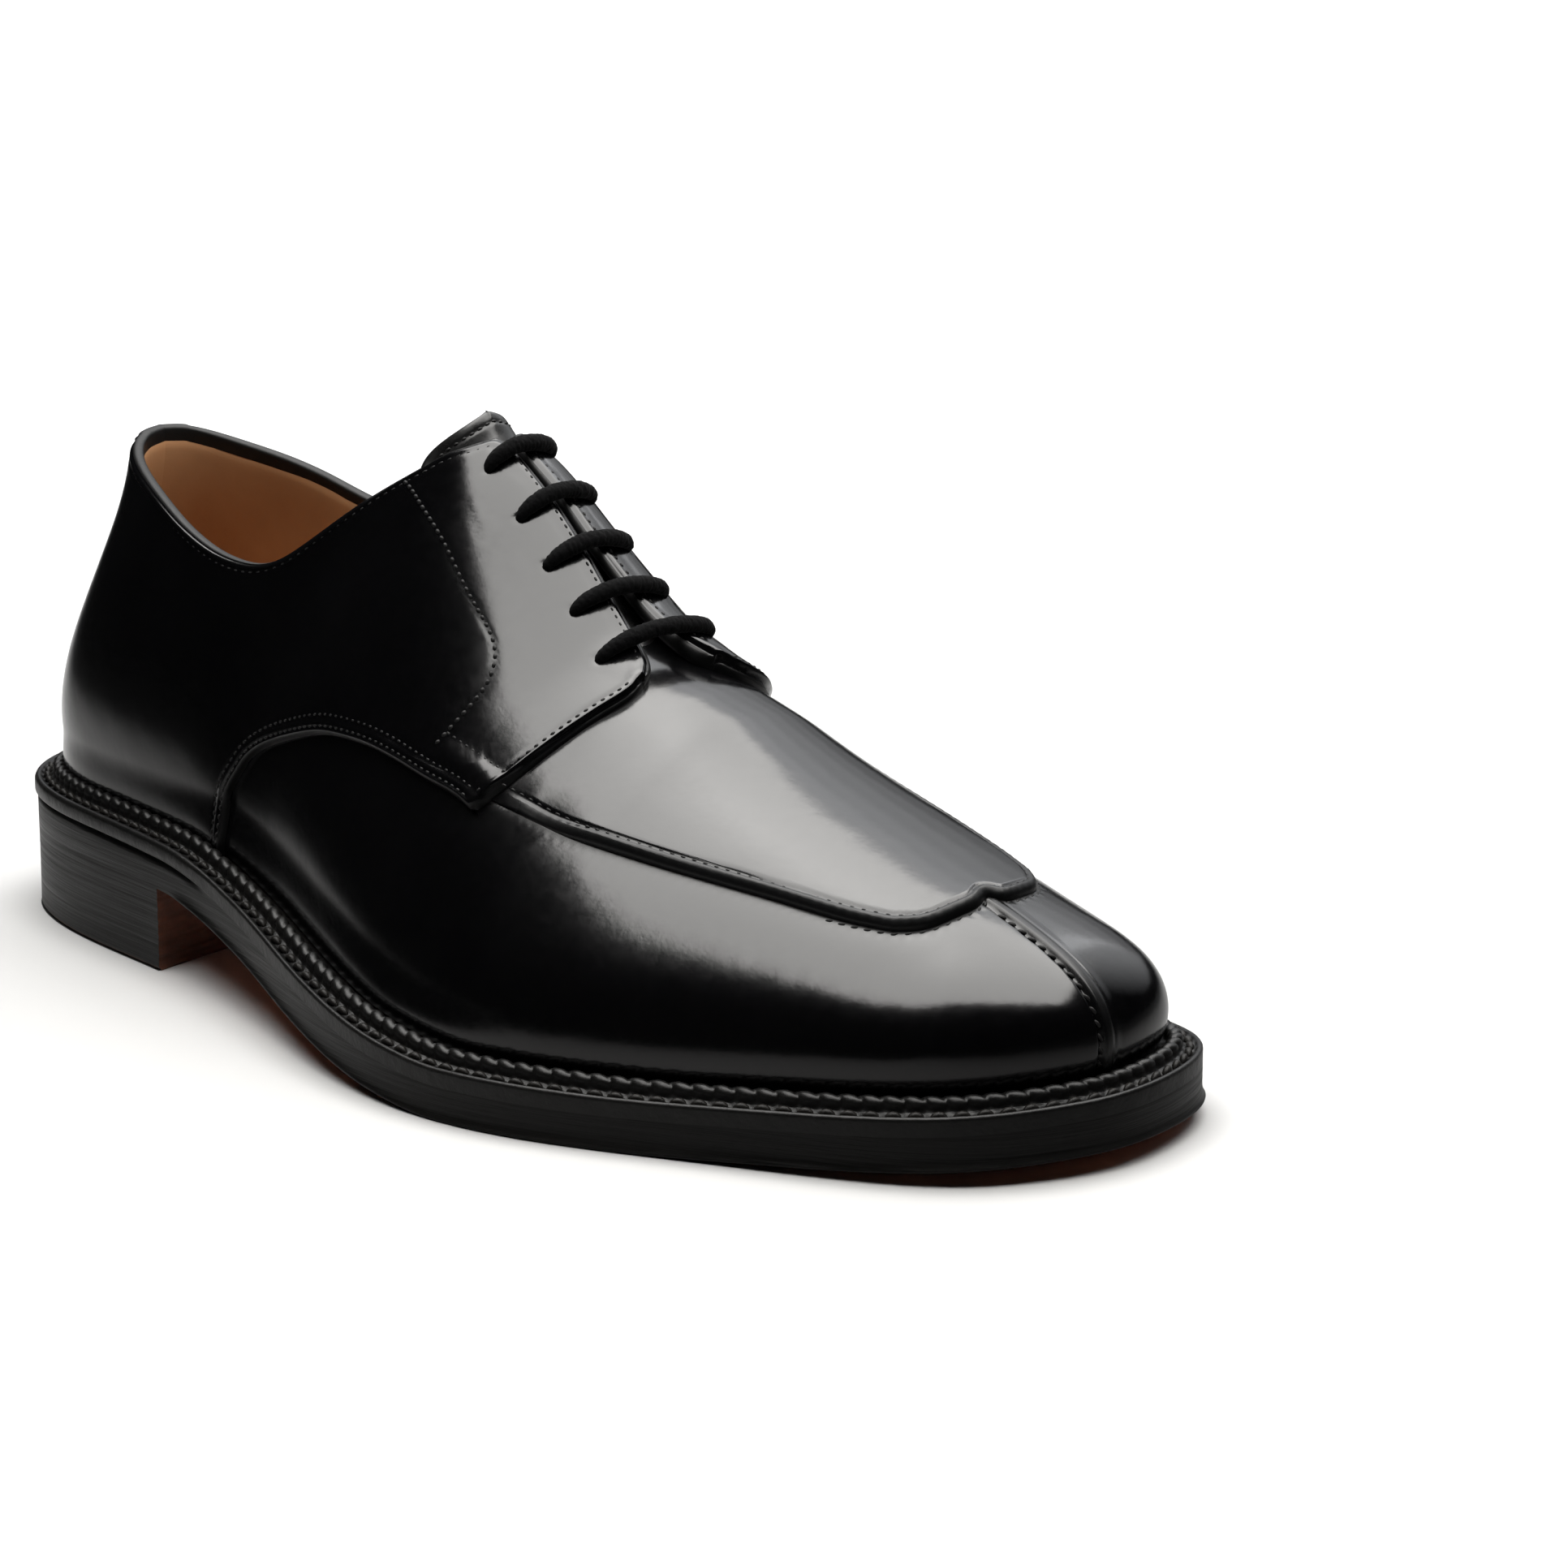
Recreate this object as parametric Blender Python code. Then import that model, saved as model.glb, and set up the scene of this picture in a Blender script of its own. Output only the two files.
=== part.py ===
"""Right derby shoe with a split toe and a raised apron, one solid for each piece.

Everything is worked out in millimetres, heel at x 0, toe along +x, outer (lateral) side along -y,
and moved to the middle of the outline and into metres when a mesh is made.
"""
from collections import namedtuple

import bmesh
import bpy
import numpy as np
from mathutils import Vector
from mathutils.bvhtree import BVHTree
from mathutils.geometry import delaunay_2d_cdt

# Named sizes, mm
SOLE_TOP = 10.4
WELT_THICK = 3.6
OUTSOLE_THICK = 6.5
EDGE_FLARE = 0.6
FEATHER_INSET = 8.3
FEATHER_RISE = 0.7
WALL = 1.6
GAP = 0.3
LAYER_GAP = 0.5
TONGUE_GAP = 1.05
LEATHER = 1.4
TONGUE_THICK = 1.8
INSOLE_RISE = 2.2
WELT_INNER = 10.0
BEAD_INSET = 5.2
BEAD_HALF = 1.25
BEAD_RISE = 2.6
HEEL_BREAST_X = 73.0
TOP_PIECE = 5.6
BREAST_HOLLOW = 3.0
REAR_DROP = 1.9
APRON_DROP = 1.3
APRON_SKIVE = 0.8
LACE_RADIUS = 2.1
LACE_NECK = 1.2
EYELET_RADIUS = 1.75
LATERAL = -1
MEDIAL = 1

# Outline of the sole, a row for each section along the length
Sole = namedtuple("Sole", "x lateral medial")
HEEL_END = (-3.0, 0.5)
TOE_END = (304.8, 3.5)
SOLE_ROWS = [
    Sole(0.0, -11.5, 13.0),
    Sole(12.0, -25.0, 27.5),
    Sole(40.0, -35.0, 36.0),
    Sole(78.0, -40.5, 31.0),
    Sole(113.0, -49.0, 22.0),
    Sole(148.0, -60.5, 32.0),
    Sole(181.0, -66.0, 44.5),
    Sole(211.0, -62.0, 51.0),
    Sole(243.0, -50.0, 51.0),
    Sole(271.0, -38.5, 46.0),
    Sole(290.5, -26.5, 38.5),
    Sole(301.0, -11.0, 25.0),
]

# Underside of the sole: heel seat, arch, flat tread, toe spring
Tread = namedtuple("Tread", "x height")
TREAD_ROWS = [
    Tread(-3.0, 19.0),
    Tread(40.0, 19.0),
    Tread(76.0, 17.8),
    Tread(108.0, 12.9),
    Tread(144.0, 6.0),
    Tread(172.0, 1.6),
    Tread(192.0, 0.0),
    Tread(224.0, 0.0),
    Tread(262.0, 1.3),
    Tread(304.8, 4.0),
]

# Crest of the last from the top of the instep to the toe
Crest = namedtuple("Crest", "x y z")
CREST_ROWS = [
    Crest(100.0, 4.0, 137.0),
    Crest(124.0, 4.6, 126.0),
    Crest(134.0, 4.8, 119.0),
    Crest(149.0, 5.0, 108.0),
    Crest(163.0, 4.8, 95.5),
    Crest(176.0, 4.5, 84.0),
    Crest(188.0, 4.4, 75.5),
    Crest(201.0, 4.5, 68.5),
    Crest(214.0, 4.7, 62.5),
    Crest(227.0, 4.8, 57.5),
    Crest(239.0, 4.6, 53.7),
    Crest(250.0, 4.3, 50.3),
    Crest(264.0, 3.8, 46.3),
    Crest(280.0, 3.4, 41.5),
]


def spline(knots, rows, at, closed=False):
    """Smooth cubic curve through the rows, read at the given places."""
    t = np.asarray(knots, float)
    p = np.asarray(rows, float)
    h = np.diff(t)
    n = len(t)
    a = np.zeros((n, n))
    b = np.zeros((n, p.shape[1]))
    for i in range(1, n - 1):
        a[i, i - 1:i + 2] = h[i - 1], 2 * (h[i - 1] + h[i]), h[i]
        b[i] = 6 * ((p[i + 1] - p[i]) / h[i] - (p[i] - p[i - 1]) / h[i - 1])
    a[0, 0] = 1
    a[-1, -1] = 1
    if closed:
        a[0, -1] = -1
        a[-1, 0] = 2 * h[0]
        a[-1, 1] = h[0]
        a[-1, -2] = h[-1]
        a[-1, -1] = 2 * h[-1]
        b[-1] = 6 * ((p[1] - p[0]) / h[0] - (p[-1] - p[-2]) / h[-1])
    m = np.linalg.solve(a, b)
    at = np.asarray(at, float)
    i = np.clip(np.searchsorted(t, at, side="right") - 1, 0, n - 2)
    left = (t[i + 1] - at)[..., None]
    right = (at - t[i])[..., None]
    step = h[i][..., None]
    bend = (m[i] * left ** 3 + m[i + 1] * right ** 3) / (6 * step)
    return bend + (p[i] / step - m[i] * step / 6) * left + (p[i + 1] / step - m[i + 1] * step / 6) * right


def tread(x):
    """Height of the underside of the sole, never overshooting its rows."""
    xs = np.array([r.x for r in TREAD_ROWS])
    zs = np.array([r.height for r in TREAD_ROWS])
    h = np.diff(xs)
    d = np.diff(zs) / h
    slope = np.zeros(len(xs))
    for i in range(1, len(xs) - 1):
        if d[i - 1] * d[i] > 0:
            w1 = 2 * h[i] + h[i - 1]
            w2 = h[i] + 2 * h[i - 1]
            slope[i] = (w1 + w2) / (w1 / d[i - 1] + w2 / d[i])
    slope[-1] = 1.2 * d[-1]
    x = np.clip(np.asarray(x, float), xs[0], xs[-1] + 2)
    i = np.clip(np.searchsorted(xs, x, side="right") - 1, 0, len(xs) - 2)
    t = (x - xs[i]) / h[i]
    return ((2 * t ** 3 - 3 * t ** 2 + 1) * zs[i] + (t ** 3 - 2 * t ** 2 + t) * h[i] * slope[i]
            + (3 * t ** 2 - 2 * t ** 3) * zs[i + 1] + (t ** 3 - t ** 2) * h[i] * slope[i + 1])


def crest(x):
    """Point on the crest of the last."""
    y, z = spline([r.x for r in CREST_ROWS], [(r.y, r.z) for r in CREST_ROWS], float(x))
    return float(x), float(y), float(z)


# Ribs of the last from the feather edge up to the crest, or to the cone behind the instep.
# place: share of the way along the outline from heel to toe; top: where the rib ends;
# flare and rise: how far out and up it sets off; crown and drop: how it comes in; aim: its heading there.
Rib = namedtuple("Rib", "place top_x top_y top_z flare rise crown drop aim")
LATERAL_RIBS = [
    Rib(0.00, 27.0, 1.0, 111.0, 8.0, 27, -5, 26, -180),
    Rib(0.06, 30.5, -8.0, 112.0, 10.0, 27, -4, 26, -143),
    Rib(0.12, 42.0, -15.0, 114.0, 10.0, 28, -2, 27, -117),
    Rib(0.18, 62.0, -19.0, 119.0, 9.0, 29, 0, 30, -102),
    Rib(0.24, 86.0, -18.5, 124.0, 7.0, 30, 2, 32, -98),
    Rib(0.28, 107.0, -10.0, 128.0, 5.0, 30, 6, 22, -94),
    Rib(0.32, *crest(122), 4.5, 30, 10, 10, -91),
    Rib(0.36, *crest(135), 4.0, 31, 15, 2, -90),
    Rib(0.42, *crest(153), 4.0, 32, 18, 0, -90),
    Rib(0.50, *crest(176), 4.0, 31, 21, 0, -90),
    Rib(0.58, *crest(198), 4.5, 28, 23, 0, -90),
    Rib(0.66, *crest(219), 5.0, 25, 24, 0, -90),
    Rib(0.74, *crest(239), 6.0, 21, 24, 0, -88),
    Rib(0.82, *crest(256), 6.5, 18, 23, 0, -78),
    Rib(0.88, *crest(263.5), 7.0, 16, 22, 0, -58),
    Rib(0.94, *crest(266.5), 7.0, 15, 22, 0, -28),
    Rib(1.00, *crest(267), 7.0, 14, 22, 0, 0),
]
MEDIAL_RIBS = [
    Rib(0.00, 27.0, 1.0, 111.0, 8.0, 27, -5, 26, 180),
    Rib(0.06, 30.5, 10.0, 112.0, 10.0, 27, -4, 26, 143),
    Rib(0.12, 42.0, 17.0, 114.0, 10.0, 28, -2, 27, 117),
    Rib(0.18, 62.0, 21.0, 119.0, 9.5, 29, 0, 30, 102),
    Rib(0.24, 86.0, 21.0, 124.0, 10.0, 30, 3, 32, 98),
    Rib(0.28, 107.0, 16.0, 128.0, 11.0, 31, 8, 22, 94),
    Rib(0.32, *crest(122), 13.0, 33, 14, 10, 91),
    Rib(0.36, *crest(135), 14.0, 38, 24, 2, 90),
    Rib(0.42, *crest(153), 14.0, 43, 29, 0, 90),
    Rib(0.50, *crest(176), 12.0, 43, 30, 0, 90),
    Rib(0.58, *crest(198), 9.0, 37, 30, 0, 90),
    Rib(0.66, *crest(219), 7.0, 29, 28, 0, 90),
    Rib(0.74, *crest(239), 6.5, 24, 27, 0, 88),
    Rib(0.82, *crest(256), 7.0, 19, 25, 0, 78),
    Rib(0.88, *crest(263.5), 8.0, 16, 23, 0, 60),
    Rib(0.94, *crest(266.5), 8.0, 15, 22, 0, 30),
    Rib(1.00, *crest(267), 7.0, 14, 22, 0, 0),
]
TOE_CREST_NORMAL = np.array([0.31, 0.0, 0.95])
INSTEP_TOP = 0.28
INSTEP_BLEND = 0.08

QUARTER_FOOT = 0.034
BACK_SEAM = 0.0018

# Lines of the pattern: place along the outline, and share of the way up the rib on each side
Line = namedtuple("Line", "place lateral medial")
COLLAR_ROWS = [
    Line(0.000, 0.925, 0.925),
    Line(0.040, 0.912, 0.912),
    Line(0.084, 0.880, 0.882),
    Line(0.128, 0.823, 0.828),
    Line(0.178, 0.735, 0.745),
    Line(0.216, 0.675, 0.690),
    Line(0.246, 0.617, 0.640),
    Line(0.272, 0.570, 0.598),
    Line(0.284, 0.568, 0.592),
    Line(0.298, 0.597, 0.610),
    Line(0.312, 0.640, 0.645),
    Line(0.336, 0.722, 0.715),
    Line(0.352, 0.800, 0.795),
    Line(0.366, 0.890, 0.890),
    Line(0.378, 0.972, 0.965),
]
FACING_ROWS = [
    Line(0.386, 0.978, 0.962),
    Line(0.410, 0.970, 0.960),
    Line(0.436, 0.955, 0.958),
    Line(0.460, 0.947, 0.955),
    Line(0.486, 0.940, 0.950),
    Line(0.512, 0.930, 0.942),
]
FACING_CORNER_ROWS = [
    Line(0.524, 0.920, 0.930),
    Line(0.533, 0.905, 0.912),
    Line(0.540, 0.875, 0.885),
    Line(0.545, 0.837, 0.850),
]
QUARTER_FRONT_ROWS = [
    Line(0.548, 0.743, 0.760),
    Line(0.546, 0.657, 0.655),
    Line(0.540, 0.550, 0.540),
    Line(0.534, 0.480, 0.455),
]
QUARTER_SEAM_ROWS = [
    Line(0.529, 0.446, 0.415),
    Line(0.510, 0.447, 0.405),
    Line(0.490, 0.445, 0.395),
    Line(0.454, 0.417, 0.370),
    Line(0.414, 0.383, 0.340),
    Line(0.380, 0.343, 0.300),
    Line(0.346, 0.290, 0.250),
    Line(0.322, 0.227, 0.195),
    Line(0.310, 0.183, 0.155),
    Line(0.303, 0.130, 0.110),
    Line(0.305, 0.060, 0.060),
    Line(0.306, QUARTER_FOOT, QUARTER_FOOT),
]
THROAT_ROWS = [
    Line(0.386, 0.965, 0.950),
    Line(0.436, 0.945, 0.945),
    Line(0.486, 0.930, 0.938),
    Line(0.512, 0.945, 0.950),
    Line(0.528, 1.000, 1.000),
]
EYELET_ROWS = [
    (Line(0.382, 0.870, None), Line(0.382, None, 0.872)),
    (Line(0.418, 0.850, None), Line(0.419, None, 0.858)),
    (Line(0.450, 0.837, None), Line(0.453, None, 0.848)),
    (Line(0.480, 0.833, None), Line(0.485, None, 0.838)),
    (Line(0.514, 0.817, None), Line(0.520, None, 0.815)),
]

# Where the vamp sinks below the form of the finished shoe: under the quarters, and under the apron
REAR_END = 0.68
REAR_BLEND = 0.16
APRON_EDGE_ROWS = [
    Line(0.550, 0.500, 0.544),
    Line(0.581, 0.512, 0.574),
    Line(0.623, 0.536, 0.606),
    Line(0.681, 0.568, 0.644),
    Line(0.750, 0.606, 0.678),
    Line(0.802, 0.630, 0.696),
    Line(0.834, 0.656, 0.712),
    Line(0.861, 0.716, 0.764),
    Line(0.888, 0.814, 0.848),
    Line(1.000, 0.975, 0.975),
]

# Plan of the apron edge, and of the tongue about the crest
Apron = namedtuple("Apron", "x lateral medial")
APRON_ROWS = [
    Apron(181.5, -36.4, 32.4),
    Apron(191.4, -36.0, 32.4),
    Apron(204.5, -33.8, 31.6),
    Apron(221.8, -29.4, 29.8),
    Apron(241.6, -23.8, 27.2),
    Apron(256.0, -19.9, 24.6),
    Apron(263.5, -17.0, 22.4),
    Apron(268.3, -12.4, 18.2),
    Apron(270.3, -6.0, 12.0),
]
APRON_NOTCH = (268.6, 3.5)
APRON_CLEAR = 1.4
Tongue = namedtuple("Tongue", "place lateral medial")
TONGUE_ROWS = [
    Tongue(0.350, 0.03, 0.03),
    Tongue(0.351, 0.12, 0.12),
    Tongue(0.356, 0.19, 0.19),
    Tongue(0.366, 0.235, 0.235),
    Tongue(0.390, 0.245, 0.245),
    Tongue(0.440, 0.235, 0.235),
    Tongue(0.500, 0.225, 0.225),
    Tongue(0.556, 0.215, 0.215),
    Tongue(0.562, 0.10, 0.10),
]

# Plan scale of the pattern coordinates, so that the nets come out even
LENGTH_SCALE = 356.0
GIRTH_SCALE = 110.0


def sole_outline(count=1600):
    """Dense closed outline of the sole: place along it (0 heel, 1 toe, 2 heel), points, outward normals."""
    pts = [HEEL_END] + [(r.x, r.lateral) for r in SOLE_ROWS] + [TOE_END]
    pts += [(r.x, r.medial) for r in reversed(SOLE_ROWS)] + [HEEL_END]
    pts = np.array(pts)
    knots = np.r_[0, np.cumsum(np.sqrt(np.linalg.norm(np.diff(pts, axis=0), axis=1)))]
    u = np.linspace(0, knots[-1], count + 1)
    c = spline(knots, pts, u, True)
    run = np.r_[0, np.cumsum(np.linalg.norm(np.diff(c, axis=0), axis=1))]
    toe = np.interp(knots[len(SOLE_ROWS) + 1], u, run)
    place = np.where(run <= toe, run / toe, 1 + (run - toe) / (run[-1] - toe))
    d = np.gradient(c, axis=0)
    d[0] = d[-1] = c[1] - c[-2]
    d /= np.linalg.norm(d, axis=1, keepdims=True)
    return place, c, np.stack([d[:, 1], -d[:, 0]], -1)


OUT_PLACE, OUT_POINT, OUT_NORMAL = sole_outline()
MIDDLE = (OUT_POINT.min(axis=0) + OUT_POINT.max(axis=0)) / 2


def ring(place, inset=0.0):
    """Points of the sole outline moved inward, and the outward normals there."""
    place = np.mod(place, 2.0)
    c = np.stack([np.interp(place, OUT_PLACE, OUT_POINT[:, k]) for k in (0, 1)], -1)
    n = np.stack([np.interp(place, OUT_PLACE, OUT_NORMAL[:, k]) for k in (0, 1)], -1)
    n /= np.linalg.norm(n, axis=-1, keepdims=True)
    return c - n * inset, n


def last(side, place, share):
    """Point on the last: place 0 heel to 1 toe, share 0 at the feather edge to 1 at the crest."""
    place = np.asarray(place, float)
    rows = LATERAL_RIBS if side == LATERAL else MEDIAL_RIBS
    v = spline([r.place for r in rows], [r[1:] for r in rows], np.clip(place, 0, 1))
    top = v[..., :3]
    flare, rise, crown, drop, aim = np.moveaxis(v[..., 3:], -1, 0)
    foot, normal = ring(place if side == LATERAL else 2 - place, FEATHER_INSET)
    foot = np.concatenate([foot, (tread(foot[..., 0]) + SOLE_TOP + FEATHER_RISE)[..., None]], -1)
    low = foot + np.concatenate([normal * flare[..., None], rise[..., None]], -1)
    xs = [r.x for r in CREST_ROWS]
    zs = [(r.z,) for r in CREST_ROWS]
    fall = (spline(xs, zs, top[..., 0] + 0.5) - spline(xs, zs, top[..., 0] - 0.5))[..., 0]
    fall = fall * np.clip((place - INSTEP_TOP) / INSTEP_BLEND, 0, 1)
    head = np.stack([np.cos(np.radians(aim)), np.sin(np.radians(aim)), fall * np.cos(np.radians(aim))], -1)
    high = top + crown[..., None] * head
    high[..., 2] -= drop
    t = np.asarray(share, float)[..., None]
    return foot * (1 - t) ** 3 + 3 * low * t * (1 - t) ** 2 + 3 * high * t * t * (1 - t) + top * t ** 3


def ease(x):
    """Smooth step from 0 to 1."""
    x = np.clip(x, 0.0, 1.0)
    return x * x * (3 - 2 * x)


def sink(side, place, share):
    """How far the vamp lies below the form, to leave room for what is sewn over it."""
    rear = REAR_DROP * ease((REAR_END - place) / REAR_BLEND) * ease(share / 0.12)
    under = share - line_share(APRON_EDGE_ROWS, side, place)
    plug = APRON_DROP * ease((under + 0.27) / 0.17) * ease((place - 0.50) / 0.04)
    return np.maximum(rear, plug)


def skin(side, place, share, offset):
    """Point over the vamp, moved out along the normal of the form."""
    place = np.asarray(place, float)
    share = np.asarray(share, float)
    e = 0.004
    along = last(side, np.clip(place + e, 0, 1), share) - last(side, np.clip(place - e, 0, 1), share)
    up_to = np.minimum(share + e, 0.9995)
    up = last(side, place, up_to) - last(side, place, up_to - 2 * e)
    n = np.cross(along, up) if side == LATERAL else np.cross(up, along)
    n /= np.linalg.norm(n, axis=-1, keepdims=True)
    meet = (ease((share - 0.88) / 0.10) * ease((place - 0.82) / 0.06))[..., None]
    n = n * (1 - meet) + TOE_CREST_NORMAL * meet
    n /= np.linalg.norm(n, axis=-1, keepdims=True)
    return last(side, place, share) + n * (np.asarray(offset, float) - sink(side, place, share))[..., None]


def across(place, sweep, offset):
    """Point near the crest: sweep below 0 on the lateral side, above 0 on the medial side."""
    place = np.asarray(place, float)
    sweep = np.asarray(sweep, float)
    offset = np.broadcast_to(np.asarray(offset, float), sweep.shape)
    lateral = skin(LATERAL, place, 1 - np.abs(sweep), offset)
    medial = skin(MEDIAL, place, 1 - np.abs(sweep), offset)
    blend = np.clip(0.5 + sweep / 0.03, 0, 1)[..., None]
    return lateral * (1 - blend) + medial * blend


def line_share(rows, side, place):
    """Share up the rib of a pattern line at a place along the outline."""
    values = [r.lateral if side == LATERAL else r.medial for r in rows]
    return np.interp(place, [r.place for r in rows], values)


def line_points(rows, side):
    """A pattern line as plan points of the pattern net."""
    return [(r.place * LENGTH_SCALE, (r.lateral if side == LATERAL else r.medial) * GIRTH_SCALE) for r in rows]


# Making solids
def make_material(name, colour, rough):
    m = bpy.data.materials.new(name)
    m.use_nodes = True
    shader = m.node_tree.nodes["Principled BSDF"]
    shader.inputs["Base Color"].default_value = (*colour, 1)
    shader.inputs["Roughness"].default_value = rough
    return m


def make_solid(name, verts, faces, colour, rough, where):
    """Mesh object of one closed body, given in millimetres of the shoe."""
    v = np.asarray(verts, float).copy()
    v[:, :2] -= MIDDLE
    mesh = bpy.data.meshes.new(name)
    mesh.from_pydata((v / 1000).tolist(), [], [list(map(int, f)) for f in faces])
    body = bmesh.new()
    body.from_mesh(mesh)
    bmesh.ops.remove_doubles(body, verts=body.verts, dist=1e-6)
    bmesh.ops.recalc_face_normals(body, faces=body.faces)
    if body.calc_volume(signed=True) < 0:
        bmesh.ops.reverse_faces(body, faces=body.faces)
    body.to_mesh(mesh)
    body.free()
    obj = bpy.data.objects.new(name, mesh)
    mesh.materials.append(make_material(name, colour, rough))
    where.objects.link(obj)
    return obj


def even_loop(points, step):
    """Closed loop with its long edges split into even steps."""
    out = []
    for i, p in enumerate(points):
        p = np.asarray(p, float)
        q = np.asarray(points[(i + 1) % len(points)], float)
        n = max(1, int(np.ceil(np.linalg.norm(q - p) / step)))
        out += [p + (q - p) * k / n for k in range(n)]
    return np.array(out)


def inside(loop, pts):
    """Which points lie inside a closed loop."""
    hit = np.zeros(len(pts), bool)
    for p, q in zip(loop, np.roll(loop, -1, axis=0)):
        span = (p[1] > pts[:, 1]) != (q[1] > pts[:, 1])
        rise = q[1] - p[1]
        cut = p[0] + (pts[:, 1] - p[1]) * (q[0] - p[0]) / (rise if rise else 1.0)
        hit ^= span & (pts[:, 0] < cut)
    return hit


def net(loop, step):
    """Even triangles over a closed plan loop: points (the loop first) and triangles."""
    low = loop.min(axis=0)
    high = loop.max(axis=0)
    gx, gy = np.meshgrid(np.arange(low[0] + step / 2, high[0], step), np.arange(low[1] + step / 2, high[1], step))
    grid = np.stack([gx.ravel(), gy.ravel()], -1)
    grid = grid[inside(loop, grid)]
    p = loop
    q = np.roll(loop, -1, axis=0)
    edge = q - p
    t = np.clip(((grid[:, None] - p) * edge).sum(-1) / (edge ** 2).sum(-1), 0, 1)
    away = np.linalg.norm(grid[:, None] - p - edge * t[..., None], axis=-1).min(axis=1)
    pts = np.vstack([loop, grid[away > 0.45 * step]])
    faces = [list(range(len(loop)))]
    out = delaunay_2d_cdt([Vector(v) for v in pts], [], faces, 1, 1e-5)
    return np.array([(v.x, v.y) for v in out[0]]), [tuple(f) for f in out[2]]


def thick_net(name, loop, step, top, bottom, colour, rough, where):
    """Solid between two sheets that lie over the same plan net."""
    pts, tris = net(even_loop(loop, step), step)
    n = len(pts)
    faces = [tuple(f) for f in tris] + [tuple(i + n for i in reversed(f)) for f in tris]
    edges = {}
    for f in tris:
        for i, j in zip(f, f[1:] + f[:1]):
            edges[(i, j)] = edges.get((i, j), 0) + 1
    faces += [(j, i, i + n, j + n) for i, j in edges if (j, i) not in edges]
    return make_solid(name, np.vstack([top(pts), bottom(pts)]), faces, colour, rough, where)


def panel(name, side, loop, low, high, step, colour, rough, where):
    """Leather panel over the last, from its outline on the pattern net."""
    def sheet(offset):
        def lift(q):
            return skin(side, q[:, 0] / LENGTH_SCALE, q[:, 1] / GIRTH_SCALE, np.full(len(q), offset))
        return lift
    return thick_net(name, loop, step, sheet(high), sheet(low), colour, rough, where)


def upper_columns(side):
    """Places of the upper's ribs, closer where the pattern turns."""
    parts = [np.linspace(0, 0.12, 7), np.linspace(0.15, 0.27, 5), np.linspace(0.284, 0.378, 9),
             np.linspace(0.40, 0.512, 6), np.linspace(0.528, 0.82, 11), np.linspace(0.85, 1.0, 8)]
    return np.concatenate(parts)


def upper_top(side, place):
    """Where each rib of the upper ends: collar, throat, then the crest."""
    collar = line_share(COLLAR_ROWS, side, place)
    throat = line_share(THROAT_ROWS, side, place)
    return np.where(place <= COLLAR_ROWS[-1].place + 1e-6, collar, throat)


def build_upper(where):
    """One hollow wall: both sides joined at the heel, the toe and the crest, open at collar, throat and below."""
    rows = np.array([0, 0.10, 0.21, 0.33, 0.45, 0.57, 0.69, 0.81, 0.92, 1.0])
    places = upper_columns(LATERAL)
    verts = []
    faces = []
    index = {}
    for layer, offset in (("out", 0.0), ("in", -WALL)):
        for side in (LATERAL, MEDIAL):
            for i, place in enumerate(places):
                top = upper_top(side, place)
                share = rows * top
                p = skin(side, np.full(len(rows), place), share, np.full(len(rows), offset))
                for j in range(len(rows)):
                    shared = side == MEDIAL and (i in (0, len(places) - 1) or (j == len(rows) - 1 and top > 0.9999))
                    key = (layer, side, i, j)
                    if shared:
                        twin = index[(layer, LATERAL, i, j)]
                        verts[twin] = (verts[twin] + p[j]) / 2
                        index[key] = twin
                    else:
                        index[key] = len(verts)
                        verts.append(p[j])
    last_row = len(rows) - 1
    for side in (LATERAL, MEDIAL):
        for i in range(len(places) - 1):
            for j in range(last_row):
                for layer in ("out", "in"):
                    quad = [index[(layer, side, a, b)] for a, b in ((i, j), (i + 1, j), (i + 1, j + 1), (i, j + 1))]
                    faces.append(quad)
            rims = [0]
            if upper_top(side, places[i]) < 0.9999:
                rims.append(last_row)
            for j in rims:
                faces.append([index[("out", side, i, j)], index[("out", side, i + 1, j)],
                              index[("in", side, i + 1, j)], index[("in", side, i, j)]])
    clean = [tuple(dict.fromkeys(f)) for f in faces]
    return make_solid("upper", np.array(verts), [f for f in clean if len(f) > 2], (0.012, 0.012, 0.014), 0.3, where)


def build_quarter(name, side, where):
    """Quarter with its lace facing, lying over the vamp."""
    loop = [(BACK_SEAM * LENGTH_SCALE, QUARTER_FOOT * GIRTH_SCALE)]
    loop += list(reversed(line_points(QUARTER_SEAM_ROWS, side)))
    loop += list(reversed(line_points(QUARTER_FRONT_ROWS, side)))
    loop += list(reversed(line_points(FACING_CORNER_ROWS, side)))
    loop += list(reversed(line_points(FACING_ROWS, side)))
    loop += list(reversed(line_points(COLLAR_ROWS[1:], side)))
    loop += [(BACK_SEAM * LENGTH_SCALE, line_share(COLLAR_ROWS, side, 0.0) * GIRTH_SCALE)]
    return panel(name, side, loop, LAYER_GAP, LAYER_GAP + LEATHER, 8.2, (0.014, 0.014, 0.016), 0.3, where)


def last_tree():
    """The front of the last as one surface to measure down onto."""
    verts = []
    faces = []
    places = np.linspace(0.45, 1.0, 111)
    shares = np.linspace(0.2, 1.0, 61)
    grid_p, grid_s = np.meshgrid(places, shares, indexing="ij")
    for side in (LATERAL, MEDIAL):
        base = len(verts)
        verts += [Vector(v) for v in last(side, grid_p, grid_s).reshape(-1, 3)]
        for i in range(len(places) - 1):
            for j in range(len(shares) - 1):
                k = base + i * len(shares) + j
                faces.append((k, k + len(shares), k + len(shares) + 1, k + 1))
    return BVHTree.FromPolygons(verts, faces)


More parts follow.
